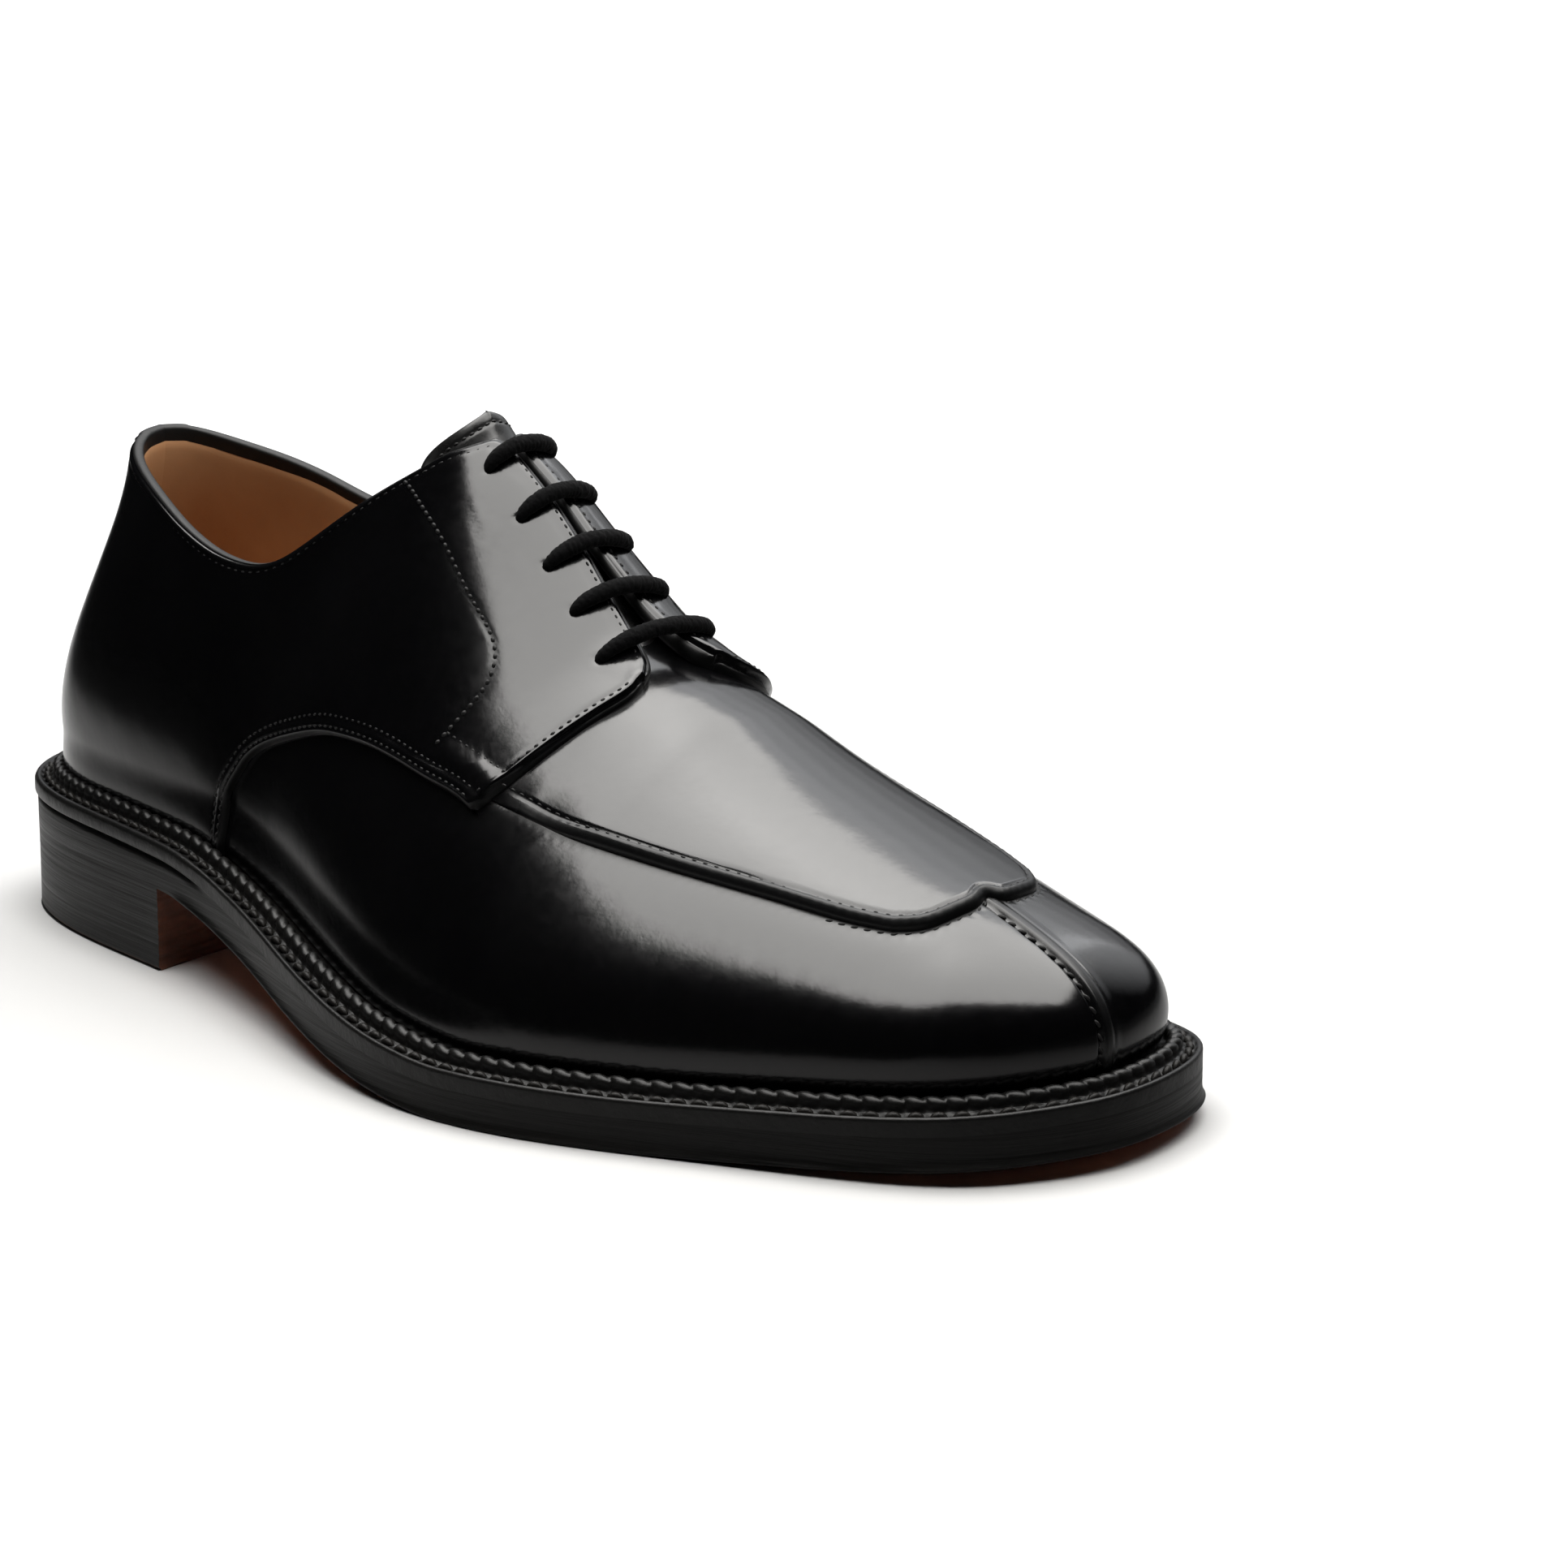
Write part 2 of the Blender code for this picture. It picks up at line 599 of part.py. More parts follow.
def over_last(tree, plan, thick):
    """Plan points raised onto the front of the vamp, with the leather skived thinner at the back."""
    def height(x, y):
        hit = tree.ray_cast(Vector((x, y, 300.0)), Vector((0.0, 0.0, -1.0)))
        return hit[0].z
    out = []
    e = 1.5
    for x, y in plan:
        dx = (height(x + e, y) - height(x - e, y)) / (2 * e)
        dy = (height(x, y + e) - height(x, y - e)) / (2 * e)
        n = np.array([-dx, -dy, 1.0])
        drop = max(APRON_DROP, REAR_DROP * float(ease((206.0 - x) / 34.0)))
        offset = LAYER_GAP - drop + thick * (1 - APRON_SKIVE * float(ease((202.0 - x) / 14.0)) / LEATHER)
        out.append(np.array([x, y, height(x, y)]) + n / np.linalg.norm(n) * offset)
    return np.array(out)


def build_apron(where):
    """Raised plug on the vamp, its front edge notched where the toe seam meets it."""
    tree = last_tree()
    loop = [(r.x, r.lateral) for r in APRON_ROWS] + [APRON_NOTCH]
    loop += [(r.x, r.medial) for r in reversed(APRON_ROWS)]
    back = []
    for side in (MEDIAL, LATERAL):
        rows = FACING_CORNER_ROWS[-1:] + QUARTER_FRONT_ROWS[:2]
        edge = [last(side, r.place, r.lateral if side == LATERAL else r.medial)[:2] for r in rows]
        edge = [(p[0] + APRON_CLEAR, p[1]) for p in edge]
        back += edge if side == LATERAL else edge[::-1]
    return thick_net("apron", loop + back, 6.0, lambda q: over_last(tree, q, LEATHER),
                     lambda q: over_last(tree, q, 0.0), (0.014, 0.014, 0.016), 0.28, where)


def build_toe_seam(where):
    """Raised seam down the middle of the toe, from the apron's notch to the welt."""
    shares = np.linspace(0.20, 0.90, 16)
    profile = [(-1.9, 0.30), (-1.5, 0.95), (0.0, 1.35), (1.5, 0.95), (1.9, 0.30)]
    spine = last(LATERAL, np.ones(len(shares)), shares)
    up = np.gradient(spine, axis=0)
    up /= np.linalg.norm(up, axis=1, keepdims=True)
    side = np.array([0.0, 1.0, 0.0])
    out = np.cross(side, up)
    out *= np.sign(out[:, :1])
    verts = []
    for p, o in zip(spine, out):
        verts += [p + side * w + o * (h + LAYER_GAP * 0.5) for w, h in profile]
    m = len(profile)
    faces = [(i * m + j, i * m + (j + 1) % m, (i + 1) * m + (j + 1) % m, (i + 1) * m + j)
             for i in range(len(shares) - 1) for j in range(m)]
    faces += [tuple(range(m)), tuple(range((len(shares) - 1) * m, len(shares) * m))]
    return make_solid("toe_seam", np.array(verts), faces, (0.014, 0.014, 0.016), 0.3, where)


def build_tongue(where):
    """Tongue under the facings, tucked under the vamp and standing above the facings."""
    loop = [(r.place * LENGTH_SCALE, -r.lateral * GIRTH_SCALE) for r in TONGUE_ROWS]
    loop += [(r.place * LENGTH_SCALE, r.medial * GIRTH_SCALE) for r in reversed(TONGUE_ROWS)]
    depth = WALL + TONGUE_GAP

    def sheet(offset):
        return lambda q: across(q[:, 0] / LENGTH_SCALE, q[:, 1] / GIRTH_SCALE, offset)
    return thick_net("tongue", loop, 6.6, sheet(-depth), sheet(-depth - TONGUE_THICK),
                     (0.016, 0.014, 0.014), 0.4, where)


def build_lace_bar(name, left, right, where):
    """Straight bar of the round lace: up out of one eyelet, over the facings, down into the other."""
    surface = LAYER_GAP + LEATHER
    lift = surface + GAP + 0.2 + LACE_RADIUS
    w = np.array([0.0, 0.0, 0.0, 0.035, 0.11, 0.22, 0.36, 0.50, 0.64, 0.78, 0.89, 0.965, 1.0, 1.0, 1.0])
    depth = [-WALL + 0.2, surface * 0.6, surface + 1.5, lift - 0.15, lift, lift, lift, lift]
    girth = [LACE_NECK, LACE_NECK, LACE_NECK + 0.2, LACE_RADIUS - 0.45, LACE_RADIUS, LACE_RADIUS, LACE_RADIUS,
             LACE_RADIUS]
    offset = np.array(depth + depth[-2::-1])
    radius = girth + girth[-2::-1]
    place = left.place + (right.place - left.place) * w
    sweep = -(1 - left.lateral) + ((1 - right.medial) + (1 - left.lateral)) * w
    path = across(place, sweep, offset)
    path[:, :2] -= MIDDLE
    curve = bpy.data.curves.new(name, "CURVE")
    curve.dimensions = "3D"
    curve.bevel_depth = 0.001
    curve.bevel_resolution = 1
    curve.use_fill_caps = True
    run = curve.splines.new("POLY")
    run.points.add(len(path) - 1)
    for point, p, r in zip(run.points, path / 1000, radius):
        point.co = (*p, 1)
        point.radius = r
    curve.materials.append(make_material(name, (0.01, 0.01, 0.01), 0.85))
    obj = bpy.data.objects.new(name, curve)
    where.objects.link(obj)
    return obj


def eyelet_cutters(side, where):
    """Pins through the eyelets of one side, to be cut out of the leather."""
    verts = []
    faces = []
    sides = 10
    for left, right in EYELET_ROWS:
        row = left if side == LATERAL else right
        share = row.lateral if side == LATERAL else row.medial
        p = skin(side, row.place, share, -6.0)
        q = skin(side, row.place, share, 6.0)
        axis = (q - p) / np.linalg.norm(q - p)
        u = np.cross(axis, [1.0, 0.0, 0.0])
        u /= np.linalg.norm(u)
        v = np.cross(axis, u)
        base = len(verts)
        for end in (p, q):
            for k in range(sides):
                turn = 2 * np.pi * k / sides
                verts.append(end + EYELET_RADIUS * (np.cos(turn) * u + np.sin(turn) * v))
        faces += [tuple(base + k for k in range(sides)), tuple(base + sides + k for k in range(sides))]
        for k in range(sides):
            n = (k + 1) % sides
            faces.append((base + k, base + n, base + sides + n, base + sides + k))
    cutter = make_solid("eyelet_pins_%s" % ("lateral" if side == LATERAL else "medial"), np.array(verts), faces,
                        (0.5, 0.5, 0.5), 0.5, where)
    cutter.hide_render = True
    cutter.display_type = "WIRE"
    return cutter


def cut(obj, cutter):
    """Take a cutter out of a solid."""
    step = obj.modifiers.new("eyelets", "BOOLEAN")
    step.operation = "DIFFERENCE"
    step.solver = "EXACT"
    step.object = cutter


def ring_loft(name, profile, count, colour, rough, where):
    """Closed ring round the shoe from a profile of (inset, height above the sole's underside)."""
    places = np.linspace(0, 2, count, endpoint=False)
    verts = []
    for place in places:
        for inset, height in profile:
            p, _ = ring(place, inset)
            verts.append((p[0], p[1], float(tread(p[0])) + height))
    m = len(profile)
    faces = []
    for i in range(count):
        k = (i + 1) % count
        faces += [(i * m + j, i * m + (j + 1) % m, k * m + (j + 1) % m, k * m + j) for j in range(m)]
    return make_solid(name, np.array(verts), faces, colour, rough, where)


def build_welt(where):
    """Storm welt all the way round: flat ledge outside, raised bead against the upper."""
    low = SOLE_TOP - WELT_THICK
    profile = [(0.0, low), (0.0, SOLE_TOP), (BEAD_INSET - BEAD_HALF - 0.2, SOLE_TOP),
               (BEAD_INSET - BEAD_HALF * 0.8, SOLE_TOP + BEAD_RISE * 0.66), (BEAD_INSET, SOLE_TOP + BEAD_RISE),
               (BEAD_INSET + BEAD_HALF * 0.8, SOLE_TOP + BEAD_RISE * 0.66), (BEAD_INSET + BEAD_HALF, SOLE_TOP),
               (WELT_INNER, SOLE_TOP), (WELT_INNER, low)]
    return ring_loft("welt", profile, 100, (0.015, 0.014, 0.014), 0.45, where)


def plate(name, places, inset, flare, low, high, step, colour, rough, where, close=()):
    """Flat layer of the sole under a run of the outline, bent to the tread; flare widens its underside."""
    loop = np.array(list(ring(places, inset)[0]) + list(close))
    wide = np.array(list(ring(places, inset - flare)[0]) + list(close))

    def bottom(q):
        q = q.copy()
        for p, r in zip(loop, wide):
            near = np.linalg.norm(q - p, axis=1) < 1e-3
            q[near] = r
        return np.c_[q, low(q[:, 0])]
    return thick_net(name, loop, step, lambda q: np.c_[q, high(q[:, 0])], bottom, colour, rough, where)


def breast_line():
    """Front of the heel, hollowed a little towards the back: places on the outline and points between."""
    lateral = np.interp(HEEL_BREAST_X, [ring(p)[0][0] for p in np.linspace(0, 0.5, 200)], np.linspace(0, 0.5, 200))
    medial_places = np.linspace(2.0, 1.5, 200)
    medial = np.interp(HEEL_BREAST_X, [ring(p)[0][0] for p in medial_places], medial_places)
    a = ring(lateral)[0]
    b = ring(medial)[0]
    share = np.linspace(0, 1, 9)[1:-1]
    points = [a + (b - a) * s - np.array([BREAST_HOLLOW * 4 * s * (1 - s), 0.0]) for s in share]
    return lateral, medial, points


def build_sole(where):
    """Outsole, insole, stacked heel and its top piece."""
    full = np.linspace(0, 2, 96, endpoint=False)
    plate("outsole", full, 0.0, EDGE_FLARE, tread, lambda x: tread(x) + OUTSOLE_THICK, 13.0,
          (0.13, 0.055, 0.03), 0.5, where)
    plate("insole", np.linspace(0, 2, 80, endpoint=False), WELT_INNER + 0.5, 0.0, lambda x: tread(x) + OUTSOLE_THICK + GAP,
          lambda x: tread(x) + SOLE_TOP + INSOLE_RISE, 13.0, (0.35, 0.2, 0.11), 0.6, where)
    lateral, medial, front = breast_line()
    places = np.concatenate([np.linspace(medial, 2.0, 15), np.linspace(0, lateral, 15)[1:]])
    plate("heel_stack", places, 0.1, 0.3, lambda x: np.full(len(x), TOP_PIECE + GAP),
          lambda x: tread(x) - GAP, 12.0, (0.02, 0.017, 0.016), 0.4, where, front)
    plate("heel_top_piece", places, -0.2, 0.2, lambda x: np.zeros(len(x)), lambda x: np.full(len(x), TOP_PIECE), 14.0,
          (0.015, 0.014, 0.013), 0.7, where, front)


def main():
    for obj in list(bpy.data.objects):
        bpy.data.objects.remove(obj)
    scene = bpy.context.scene
    shoe = bpy.data.collections.new("derby_shoe")
    scene.collection.children.link(shoe)
    cutters = bpy.data.collections.new("cutters")
    scene.collection.children.link(cutters)
    upper = build_upper(shoe)
    for side, name in ((LATERAL, "quarter_lateral"), (MEDIAL, "quarter_medial")):
        quarter = build_quarter(name, side, shoe)
        pins = eyelet_cutters(side, cutters)
        cut(quarter, pins)
        cut(upper, pins)
    build_apron(shoe)
    build_toe_seam(shoe)
    build_tongue(shoe)
    build_welt(shoe)
    build_sole(shoe)
    for i, (left, right) in enumerate(EYELET_ROWS):
        build_lace_bar("lace_bar_%d" % (i + 1), left, right, shoe)


main()
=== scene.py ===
"""Dressed right derby shoe: black polished leather, split toe, raised apron, beaded storm welt.

The forms are worked out in millimetres from the same sizes as the solids, heel at x 0, toe along +x,
outer side along -y, and moved to the middle of the outline and into metres when a mesh is made.
"""
from collections import namedtuple

import bpy
import numpy as np
from mathutils import Matrix, Vector
from mathutils.bvhtree import BVHTree


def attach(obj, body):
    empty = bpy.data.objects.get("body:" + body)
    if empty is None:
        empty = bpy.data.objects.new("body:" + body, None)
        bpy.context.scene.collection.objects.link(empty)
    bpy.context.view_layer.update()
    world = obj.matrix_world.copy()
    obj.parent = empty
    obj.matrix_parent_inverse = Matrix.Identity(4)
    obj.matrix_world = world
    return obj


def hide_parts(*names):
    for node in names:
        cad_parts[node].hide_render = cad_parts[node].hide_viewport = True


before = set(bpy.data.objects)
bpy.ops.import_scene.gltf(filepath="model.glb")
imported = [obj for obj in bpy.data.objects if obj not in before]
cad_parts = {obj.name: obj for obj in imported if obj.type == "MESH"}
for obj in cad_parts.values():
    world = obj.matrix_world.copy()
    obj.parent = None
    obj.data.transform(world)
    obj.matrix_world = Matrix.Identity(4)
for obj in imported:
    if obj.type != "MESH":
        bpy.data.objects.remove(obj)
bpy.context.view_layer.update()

# Named sizes, mm; places and shares on the pattern, from 0 to 1, have no unit
SOLE_TOP = 10.4
WELT_BASE = 6.75
FEATHER_INSET = 8.3
FEATHER_RISE = 0.7
REAR_DROP = 1.9
REAR_END = 0.68
REAR_BLEND = 0.16
FOOT_BLEND = 0.12
PLUG_REACH = 0.60
PLUG_BLEND = 0.50
PLUG_START = 0.50
PLUG_EASE = 0.04
CREST_BLEND = 0.03
APRON_DROP = 1.3
QUARTER_THICK = 1.75
EDGE_ROLL = 0.75
EDGE_TURN_IN = (1.0, 2.6)
BACK_STRIP = 7.0
BACK_STRIP_RISE = 0.75
TAB_RIDGE = 0.36
EYELET_DEPTH = 0.6
EYELET_WIDTH = 0.65
GROOVE = 0.40
APRON_DIP = 4.4
RIM_WIDTH = 2.1
RIM_RISE = 1.8
RIM_GROOVE = 2.3
LINING_DEPTH = 1.5
THROAT_END = 0.528
SOCK_INSET = 9.2
TONGUE_DEPTH = 2.7
TONGUE_THICK = 1.8
TONGUE_TOP = 0.351
TONGUE_SHOULDER = 0.034
TONGUE_ROUND = 0.044
TONGUE_FOOT = 0.55
TONGUE_HALF = 0.305
TONGUE_NEAR = 2.0
TONGUE_CURL = 2.6
INSOLE_RISE = 2.2
BEAD_INSET = 5.2
BEAD_RADIUS = 1.6
BEAD_RISE = 1.35
WELT_PITCH = 4.2
HEEL_BREAST_X = 73.0
BREAST_HOLLOW = 3.0
HEEL_HEIGHT = 19.0
HEEL_LINES = ((0.30, 0.09), (0.50, 0.05), (0.70, 0.07), (0.86, 0.04))
LACE_RADIUS = 1.7
LACE_NECK = 1.1
LAST_BAR_LIFT = (0.4, 1.8)
LACE_SIDE = np.array([1.0, 0.0, -0.75])
STITCH_PITCH = 1.9
STITCH_SHARE = 0.7
TOE_PITCH = 2.6
SEAM_STITCHES = (1.25, 3.2)
FRONT_STITCH = 2.2
FACING_STITCH = 2.6
COLLAR_STITCH = 1.7
LINE_STEP = 0.8
FORM_STEP = 1.2
AIM_STEP = 0.2
LATERAL = -1
MEDIAL = 1
INSTEP_TOP = 0.28
INSTEP_BLEND = 0.08
LENGTH_SCALE = 356.0
GIRTH_SCALE = 110.0
TOE_CREST_NORMAL = np.array([0.31, 0.0, 0.95])

# Leather: scales of its noises, per metre, depths of their bumps, m, and what wear does to the polish
MOTTLE_SCALE = 38.0
WAVE_SCALE = 150.0
PORE_SCALE = 420.0
GRAIN_SCALE = 1500.0
WAVE_DEPTH = 0.0006
PORE_DEPTH = 0.00025
GRAIN_DEPTH = 0.00008
WORN_ROUGH = 0.30
WORN_GLOSS = 0.55

# Camera, from the photograph's vanishing directions: degrees, mm and pixels of the 1932 frame
VIEW_AZIMUTH = 48.01
VIEW_ELEVATION = 14.89
VIEW_ROLL = -1.02
VIEW_DISTANCE = 921.0
VIEW_FOCAL = 5579.0
VIEW_PAN = 3.08
VIEW_TILT = 0.26
VIEW_TARGET = (150.0, 0.0, 40.0)
FRAME_PIXELS = 1932
SENSOR_WIDTH = 36.0

# Stage: tones and radiance, with a just white floor as 1, and metres
FLOOR_TONE = 0.54
FLOOR_GLOW = 1.15
FLOOR_FADE = 1.0
FLOOR_RADIUS = 30.0
# Sheet seen only in reflections: its colour is a painted pool of light, bright at its heart and black at the
# reach of its spread
PAINTED_POOL_RADIUS = 1.4
PAINTED_POOL_HEART = (-0.02, 0.45, 0.0)
PAINTED_POOL_SPREAD = (0.36, 0.80, 1.0)
OVERHEAD_RADIANCE = (7.0, 10.4)
OVERHEAD_HEIGHT = 0.82
OVERHEAD_HEART = (-0.02, 0.20)
OVERHEAD_SPREAD = 0.42
OVERHEAD_TINT = (1.0, 0.985, 0.96)
OVERHEAD_CORNERS = [(-0.475, -0.39), (0.735, -0.39), (0.735, 0.505), (-0.475, 0.505)]
# Tone at the heart of the painted pool of light on the reflected sheet
PAINTED_POOL_TONE = 0.40
SIDE_RADIANCE = 1.9
SIDE_SPREAD = 1.0
SIDE_NEAR = (0.755, 1.05)
SIDE_FAR = (1.25, 0.15)
ROOM_LIGHT = 0.006
BACKDROP_REACH = 1.15
BACKDROP_TINT = (0.96, 0.975, 1.0)
BACKDROP_BANDS = [(46, 57, 2.8), (36, 46, 1.9), (26, 36, 1.2), (16, 26, 0.7), (5, 16, 0.35)]


def table(kind, rows):
    """Rows of numbers as named rows."""
    return [kind(*row) for row in rows]


Sole = namedtuple("Sole", "x lateral medial")
HEEL_END = (-3.0, 0.5)
TOE_END = (304.8, 3.5)
SOLE_ROWS = table(Sole, [
    (0.0, -11.5, 13.0), (12.0, -25.0, 27.5), (40.0, -35.0, 36.0), (78.0, -40.5, 31.0),
    (113.0, -49.0, 22.0), (148.0, -60.5, 32.0), (181.0, -66.0, 44.5), (211.0, -62.0, 51.0),
    (243.0, -50.0, 51.0), (271.0, -38.5, 46.0), (290.5, -26.5, 38.5), (301.0, -11.0, 25.0),
])
Tread = namedtuple("Tread", "x height")
TREAD_ROWS = table(Tread, [
    (-3.0, 19.0), (40.0, 19.0), (76.0, 17.8), (108.0, 12.9), (144.0, 6.0),
    (172.0, 1.6), (192.0, 0.0), (224.0, 0.0), (262.0, 1.3), (304.8, 4.0),
])
Crest = namedtuple("Crest", "x y z")
CREST_ROWS = table(Crest, [
    (100.0, 4.0, 137.0), (124.0, 4.6, 126.0), (134.0, 4.8, 119.0), (149.0, 5.0, 108.0),
    (163.0, 4.8, 95.5), (176.0, 4.5, 84.0), (188.0, 4.4, 75.5), (201.0, 4.5, 68.5),
    (214.0, 4.7, 62.5), (227.0, 4.8, 57.5), (239.0, 4.6, 53.7), (250.0, 4.3, 50.3),
    (264.0, 3.8, 46.3), (280.0, 3.4, 41.5),
])


def unit(vectors):
    """Vectors made one long."""
    return vectors / np.linalg.norm(vectors, axis=-1, keepdims=True)


def run_along(points, power=1.0):
    """How far along a polyline each of its points lies, each step raised to a power."""
    return np.r_[0, np.cumsum(np.linalg.norm(np.diff(points, axis=0), axis=1) ** power)]


def read_at(at, knots, rows):
    """Rows read between their knots, column by column."""
    return np.stack([np.interp(at, knots, column) for column in rows.T], -1)


def raised(plan, height):
    """Plan points with their heights."""
    return np.concatenate([plan, np.asarray(height)[..., None]], -1)


def spans(*parts):
    """Even steps over spans that follow each other, each (start, end, count)."""
    return np.unique(np.concatenate([np.linspace(*part) for part in parts]))


def spline(knots, rows, at, closed=False):
    """Smooth cubic curve through the rows, read at the given places."""
    t = np.asarray(knots, float)
    p = np.asarray(rows, float)
    h = np.diff(t)
    n = len(t)
    a = np.zeros((n, n))
    b = np.zeros((n, p.shape[1]))
    for i in range(1, n - 1):
        a[i, i - 1:i + 2] = h[i - 1], 2 * (h[i - 1] + h[i]), h[i]
        b[i] = 6 * ((p[i + 1] - p[i]) / h[i] - (p[i] - p[i - 1]) / h[i - 1])
    a[0, 0] = 1
    a[-1, -1] = 1
    if closed:
        a[0, -1] = -1
        a[-1, 0] = 2 * h[0]
        a[-1, 1] = h[0]
        a[-1, -2] = h[-1]
        a[-1, -1] = 2 * h[-1]
        b[-1] = 6 * ((p[1] - p[0]) / h[0] - (p[-1] - p[-2]) / h[-1])
    m = np.linalg.solve(a, b)
    at = np.asarray(at, float)
    i = np.clip(np.searchsorted(t, at, side="right") - 1, 0, n - 2)
    left = (t[i + 1] - at)[..., None]
    right = (at - t[i])[..., None]
    step = h[i][..., None]
    bend = (m[i] * left ** 3 + m[i + 1] * right ** 3) / (6 * step)
    return bend + (p[i] / step - m[i] * step / 6) * left + (p[i + 1] / step - m[i + 1] * step / 6) * right


def tread(x):
    """Height of the underside of the sole, never overshooting its rows."""
    xs = np.array([r.x for r in TREAD_ROWS])
    zs = np.array([r.height for r in TREAD_ROWS])
    h = np.diff(xs)
    d = np.diff(zs) / h
    slope = np.zeros(len(xs))
    for i in range(1, len(xs) - 1):
        if d[i - 1] * d[i] > 0:
            w1 = 2 * h[i] + h[i - 1]
            w2 = h[i] + 2 * h[i - 1]
            slope[i] = (w1 + w2) / (w1 / d[i - 1] + w2 / d[i])
    slope[-1] = 1.2 * d[-1]
    x = np.clip(np.asarray(x, float), xs[0], xs[-1] + 2)
    i = np.clip(np.searchsorted(xs, x, side="right") - 1, 0, len(xs) - 2)
    t = (x - xs[i]) / h[i]
    return ((2 * t ** 3 - 3 * t ** 2 + 1) * zs[i] + (t ** 3 - 2 * t ** 2 + t) * h[i] * slope[i]
            + (3 * t ** 2 - 2 * t ** 3) * zs[i + 1] + (t ** 3 - t ** 2) * h[i] * slope[i + 1])


def crest(x):
    """Point on the crest of the last."""
    y, z = spline([r.x for r in CREST_ROWS], [(r.y, r.z) for r in CREST_ROWS], float(x))
    return float(x), float(y), float(z)


Rib = namedtuple("Rib", "place top_x top_y top_z flare rise crown drop aim")
LATERAL_RIBS = table(Rib, [
    (0.00, 27.0, 1.0, 111.0, 8.0, 27, -5, 26, -180), (0.06, 30.5, -8.0, 112.0, 10.0, 27, -4, 26, -143),
    (0.12, 42.0, -15.0, 114.0, 10.0, 28, -2, 27, -117), (0.18, 62.0, -19.0, 119.0, 9.0, 29, 0, 30, -102),
    (0.24, 86.0, -18.5, 124.0, 7.0, 30, 2, 32, -98), (0.28, 107.0, -10.0, 128.0, 5.0, 30, 6, 22, -94),
    (0.32, *crest(122), 4.5, 30, 10, 10, -91), (0.36, *crest(135), 4.0, 31, 15, 2, -90),
    (0.42, *crest(153), 4.0, 32, 18, 0, -90), (0.50, *crest(176), 4.0, 31, 21, 0, -90),
    (0.58, *crest(198), 4.5, 28, 23, 0, -90), (0.66, *crest(219), 5.0, 25, 24, 0, -90),
    (0.74, *crest(239), 6.0, 21, 24, 0, -88), (0.82, *crest(256), 6.5, 18, 23, 0, -78),
    (0.88, *crest(263.5), 7.0, 16, 22, 0, -58), (0.94, *crest(266.5), 7.0, 15, 22, 0, -28),
    (1.00, *crest(267), 7.0, 14, 22, 0, 0),
])
MEDIAL_RIBS = table(Rib, [
    (0.00, 27.0, 1.0, 111.0, 8.0, 27, -5, 26, 180), (0.06, 30.5, 10.0, 112.0, 10.0, 27, -4, 26, 143),
    (0.12, 42.0, 17.0, 114.0, 10.0, 28, -2, 27, 117), (0.18, 62.0, 21.0, 119.0, 9.5, 29, 0, 30, 102),
    (0.24, 86.0, 21.0, 124.0, 10.0, 30, 3, 32, 98), (0.28, 107.0, 16.0, 128.0, 11.0, 31, 8, 22, 94),
    (0.32, *crest(122), 13.0, 33, 14, 10, 91), (0.36, *crest(135), 14.0, 38, 24, 2, 90),
    (0.42, *crest(153), 14.0, 43, 29, 0, 90), (0.50, *crest(176), 12.0, 43, 30, 0, 90),
    (0.58, *crest(198), 9.0, 37, 30, 0, 90), (0.66, *crest(219), 7.0, 29, 28, 0, 90),
    (0.74, *crest(239), 6.5, 24, 27, 0, 88), (0.82, *crest(256), 7.0, 19, 25, 0, 78),
    (0.88, *crest(263.5), 8.0, 16, 23, 0, 60), (0.94, *crest(266.5), 8.0, 15, 22, 0, 30),
    (1.00, *crest(267), 7.0, 14, 22, 0, 0),
])

# Lines of the pattern: place along the outline, and share of the way up the rib on each side
Line = namedtuple("Line", "place lateral medial")
COLLAR_ROWS = table(Line, [
    (0.000, 0.925, 0.925), (0.040, 0.912, 0.912), (0.084, 0.880, 0.882), (0.128, 0.823, 0.828),
    (0.178, 0.735, 0.745), (0.216, 0.675, 0.690), (0.246, 0.617, 0.640), (0.272, 0.570, 0.598),
    (0.284, 0.568, 0.592), (0.298, 0.597, 0.610), (0.312, 0.640, 0.645), (0.336, 0.722, 0.715),
    (0.350, 0.795, 0.790), (0.362, 0.873, 0.872), (0.369, 0.955, 0.950),
])
FACING_ROWS = table(Line, [
    (0.377, 0.985, 0.984), (0.410, 0.983, 0.983), (0.436, 0.973, 0.979), (0.460, 0.964, 0.972),
    (0.486, 0.953, 0.961), (0.512, 0.939, 0.948),
])
CORNER_ROWS = table(Line, [
    (0.523, 0.927, None), (0.534, 0.905, None), (0.5425, 0.870, None), (0.5465, 0.825, None),
])
FRONT_ROWS = table(Line, [
    (0.5460, 0.755, None), (0.543, 0.657, None), (0.5385, 0.555, None), (0.533, 0.482, None),
])
MEDIAL_CORNER_ROWS = table(Line, [
    (0.523, None, 0.936), (0.534, None, 0.920), (0.546, None, 0.890), (0.555, None, 0.845),
])
MEDIAL_FRONT_ROWS = table(Line, [
    (0.561, None, 0.765), (0.561, None, 0.665), (0.554, None, 0.550), (0.542, None, 0.455),
])
SEAM_ROWS = table(Line, [
    (0.529, 0.446, 0.415), (0.5125, 0.443, 0.408), (0.4875, 0.423, 0.390), (0.4625, 0.403, 0.371),
    (0.435, 0.380, 0.348), (0.4075, 0.353, 0.322), (0.3825, 0.326, 0.296), (0.3575, 0.290, 0.262),
    (0.3325, 0.250, 0.225), (0.3175, 0.213, 0.190), (0.310, 0.170, 0.150), (0.305, 0.130, 0.112),
    (0.3065, 0.070, 0.065), (0.306, 0.000, 0.000),
])
FACING_STITCH_ROWS = table(Line, [
    (0.336, 0.705, 0.700), (0.388, 0.697, 0.690), (0.430, 0.670, 0.665), (0.464, 0.657, 0.650),
    (0.4745, 0.630, 0.620), (0.479, 0.590, 0.575), (0.478, 0.470, 0.435),
])
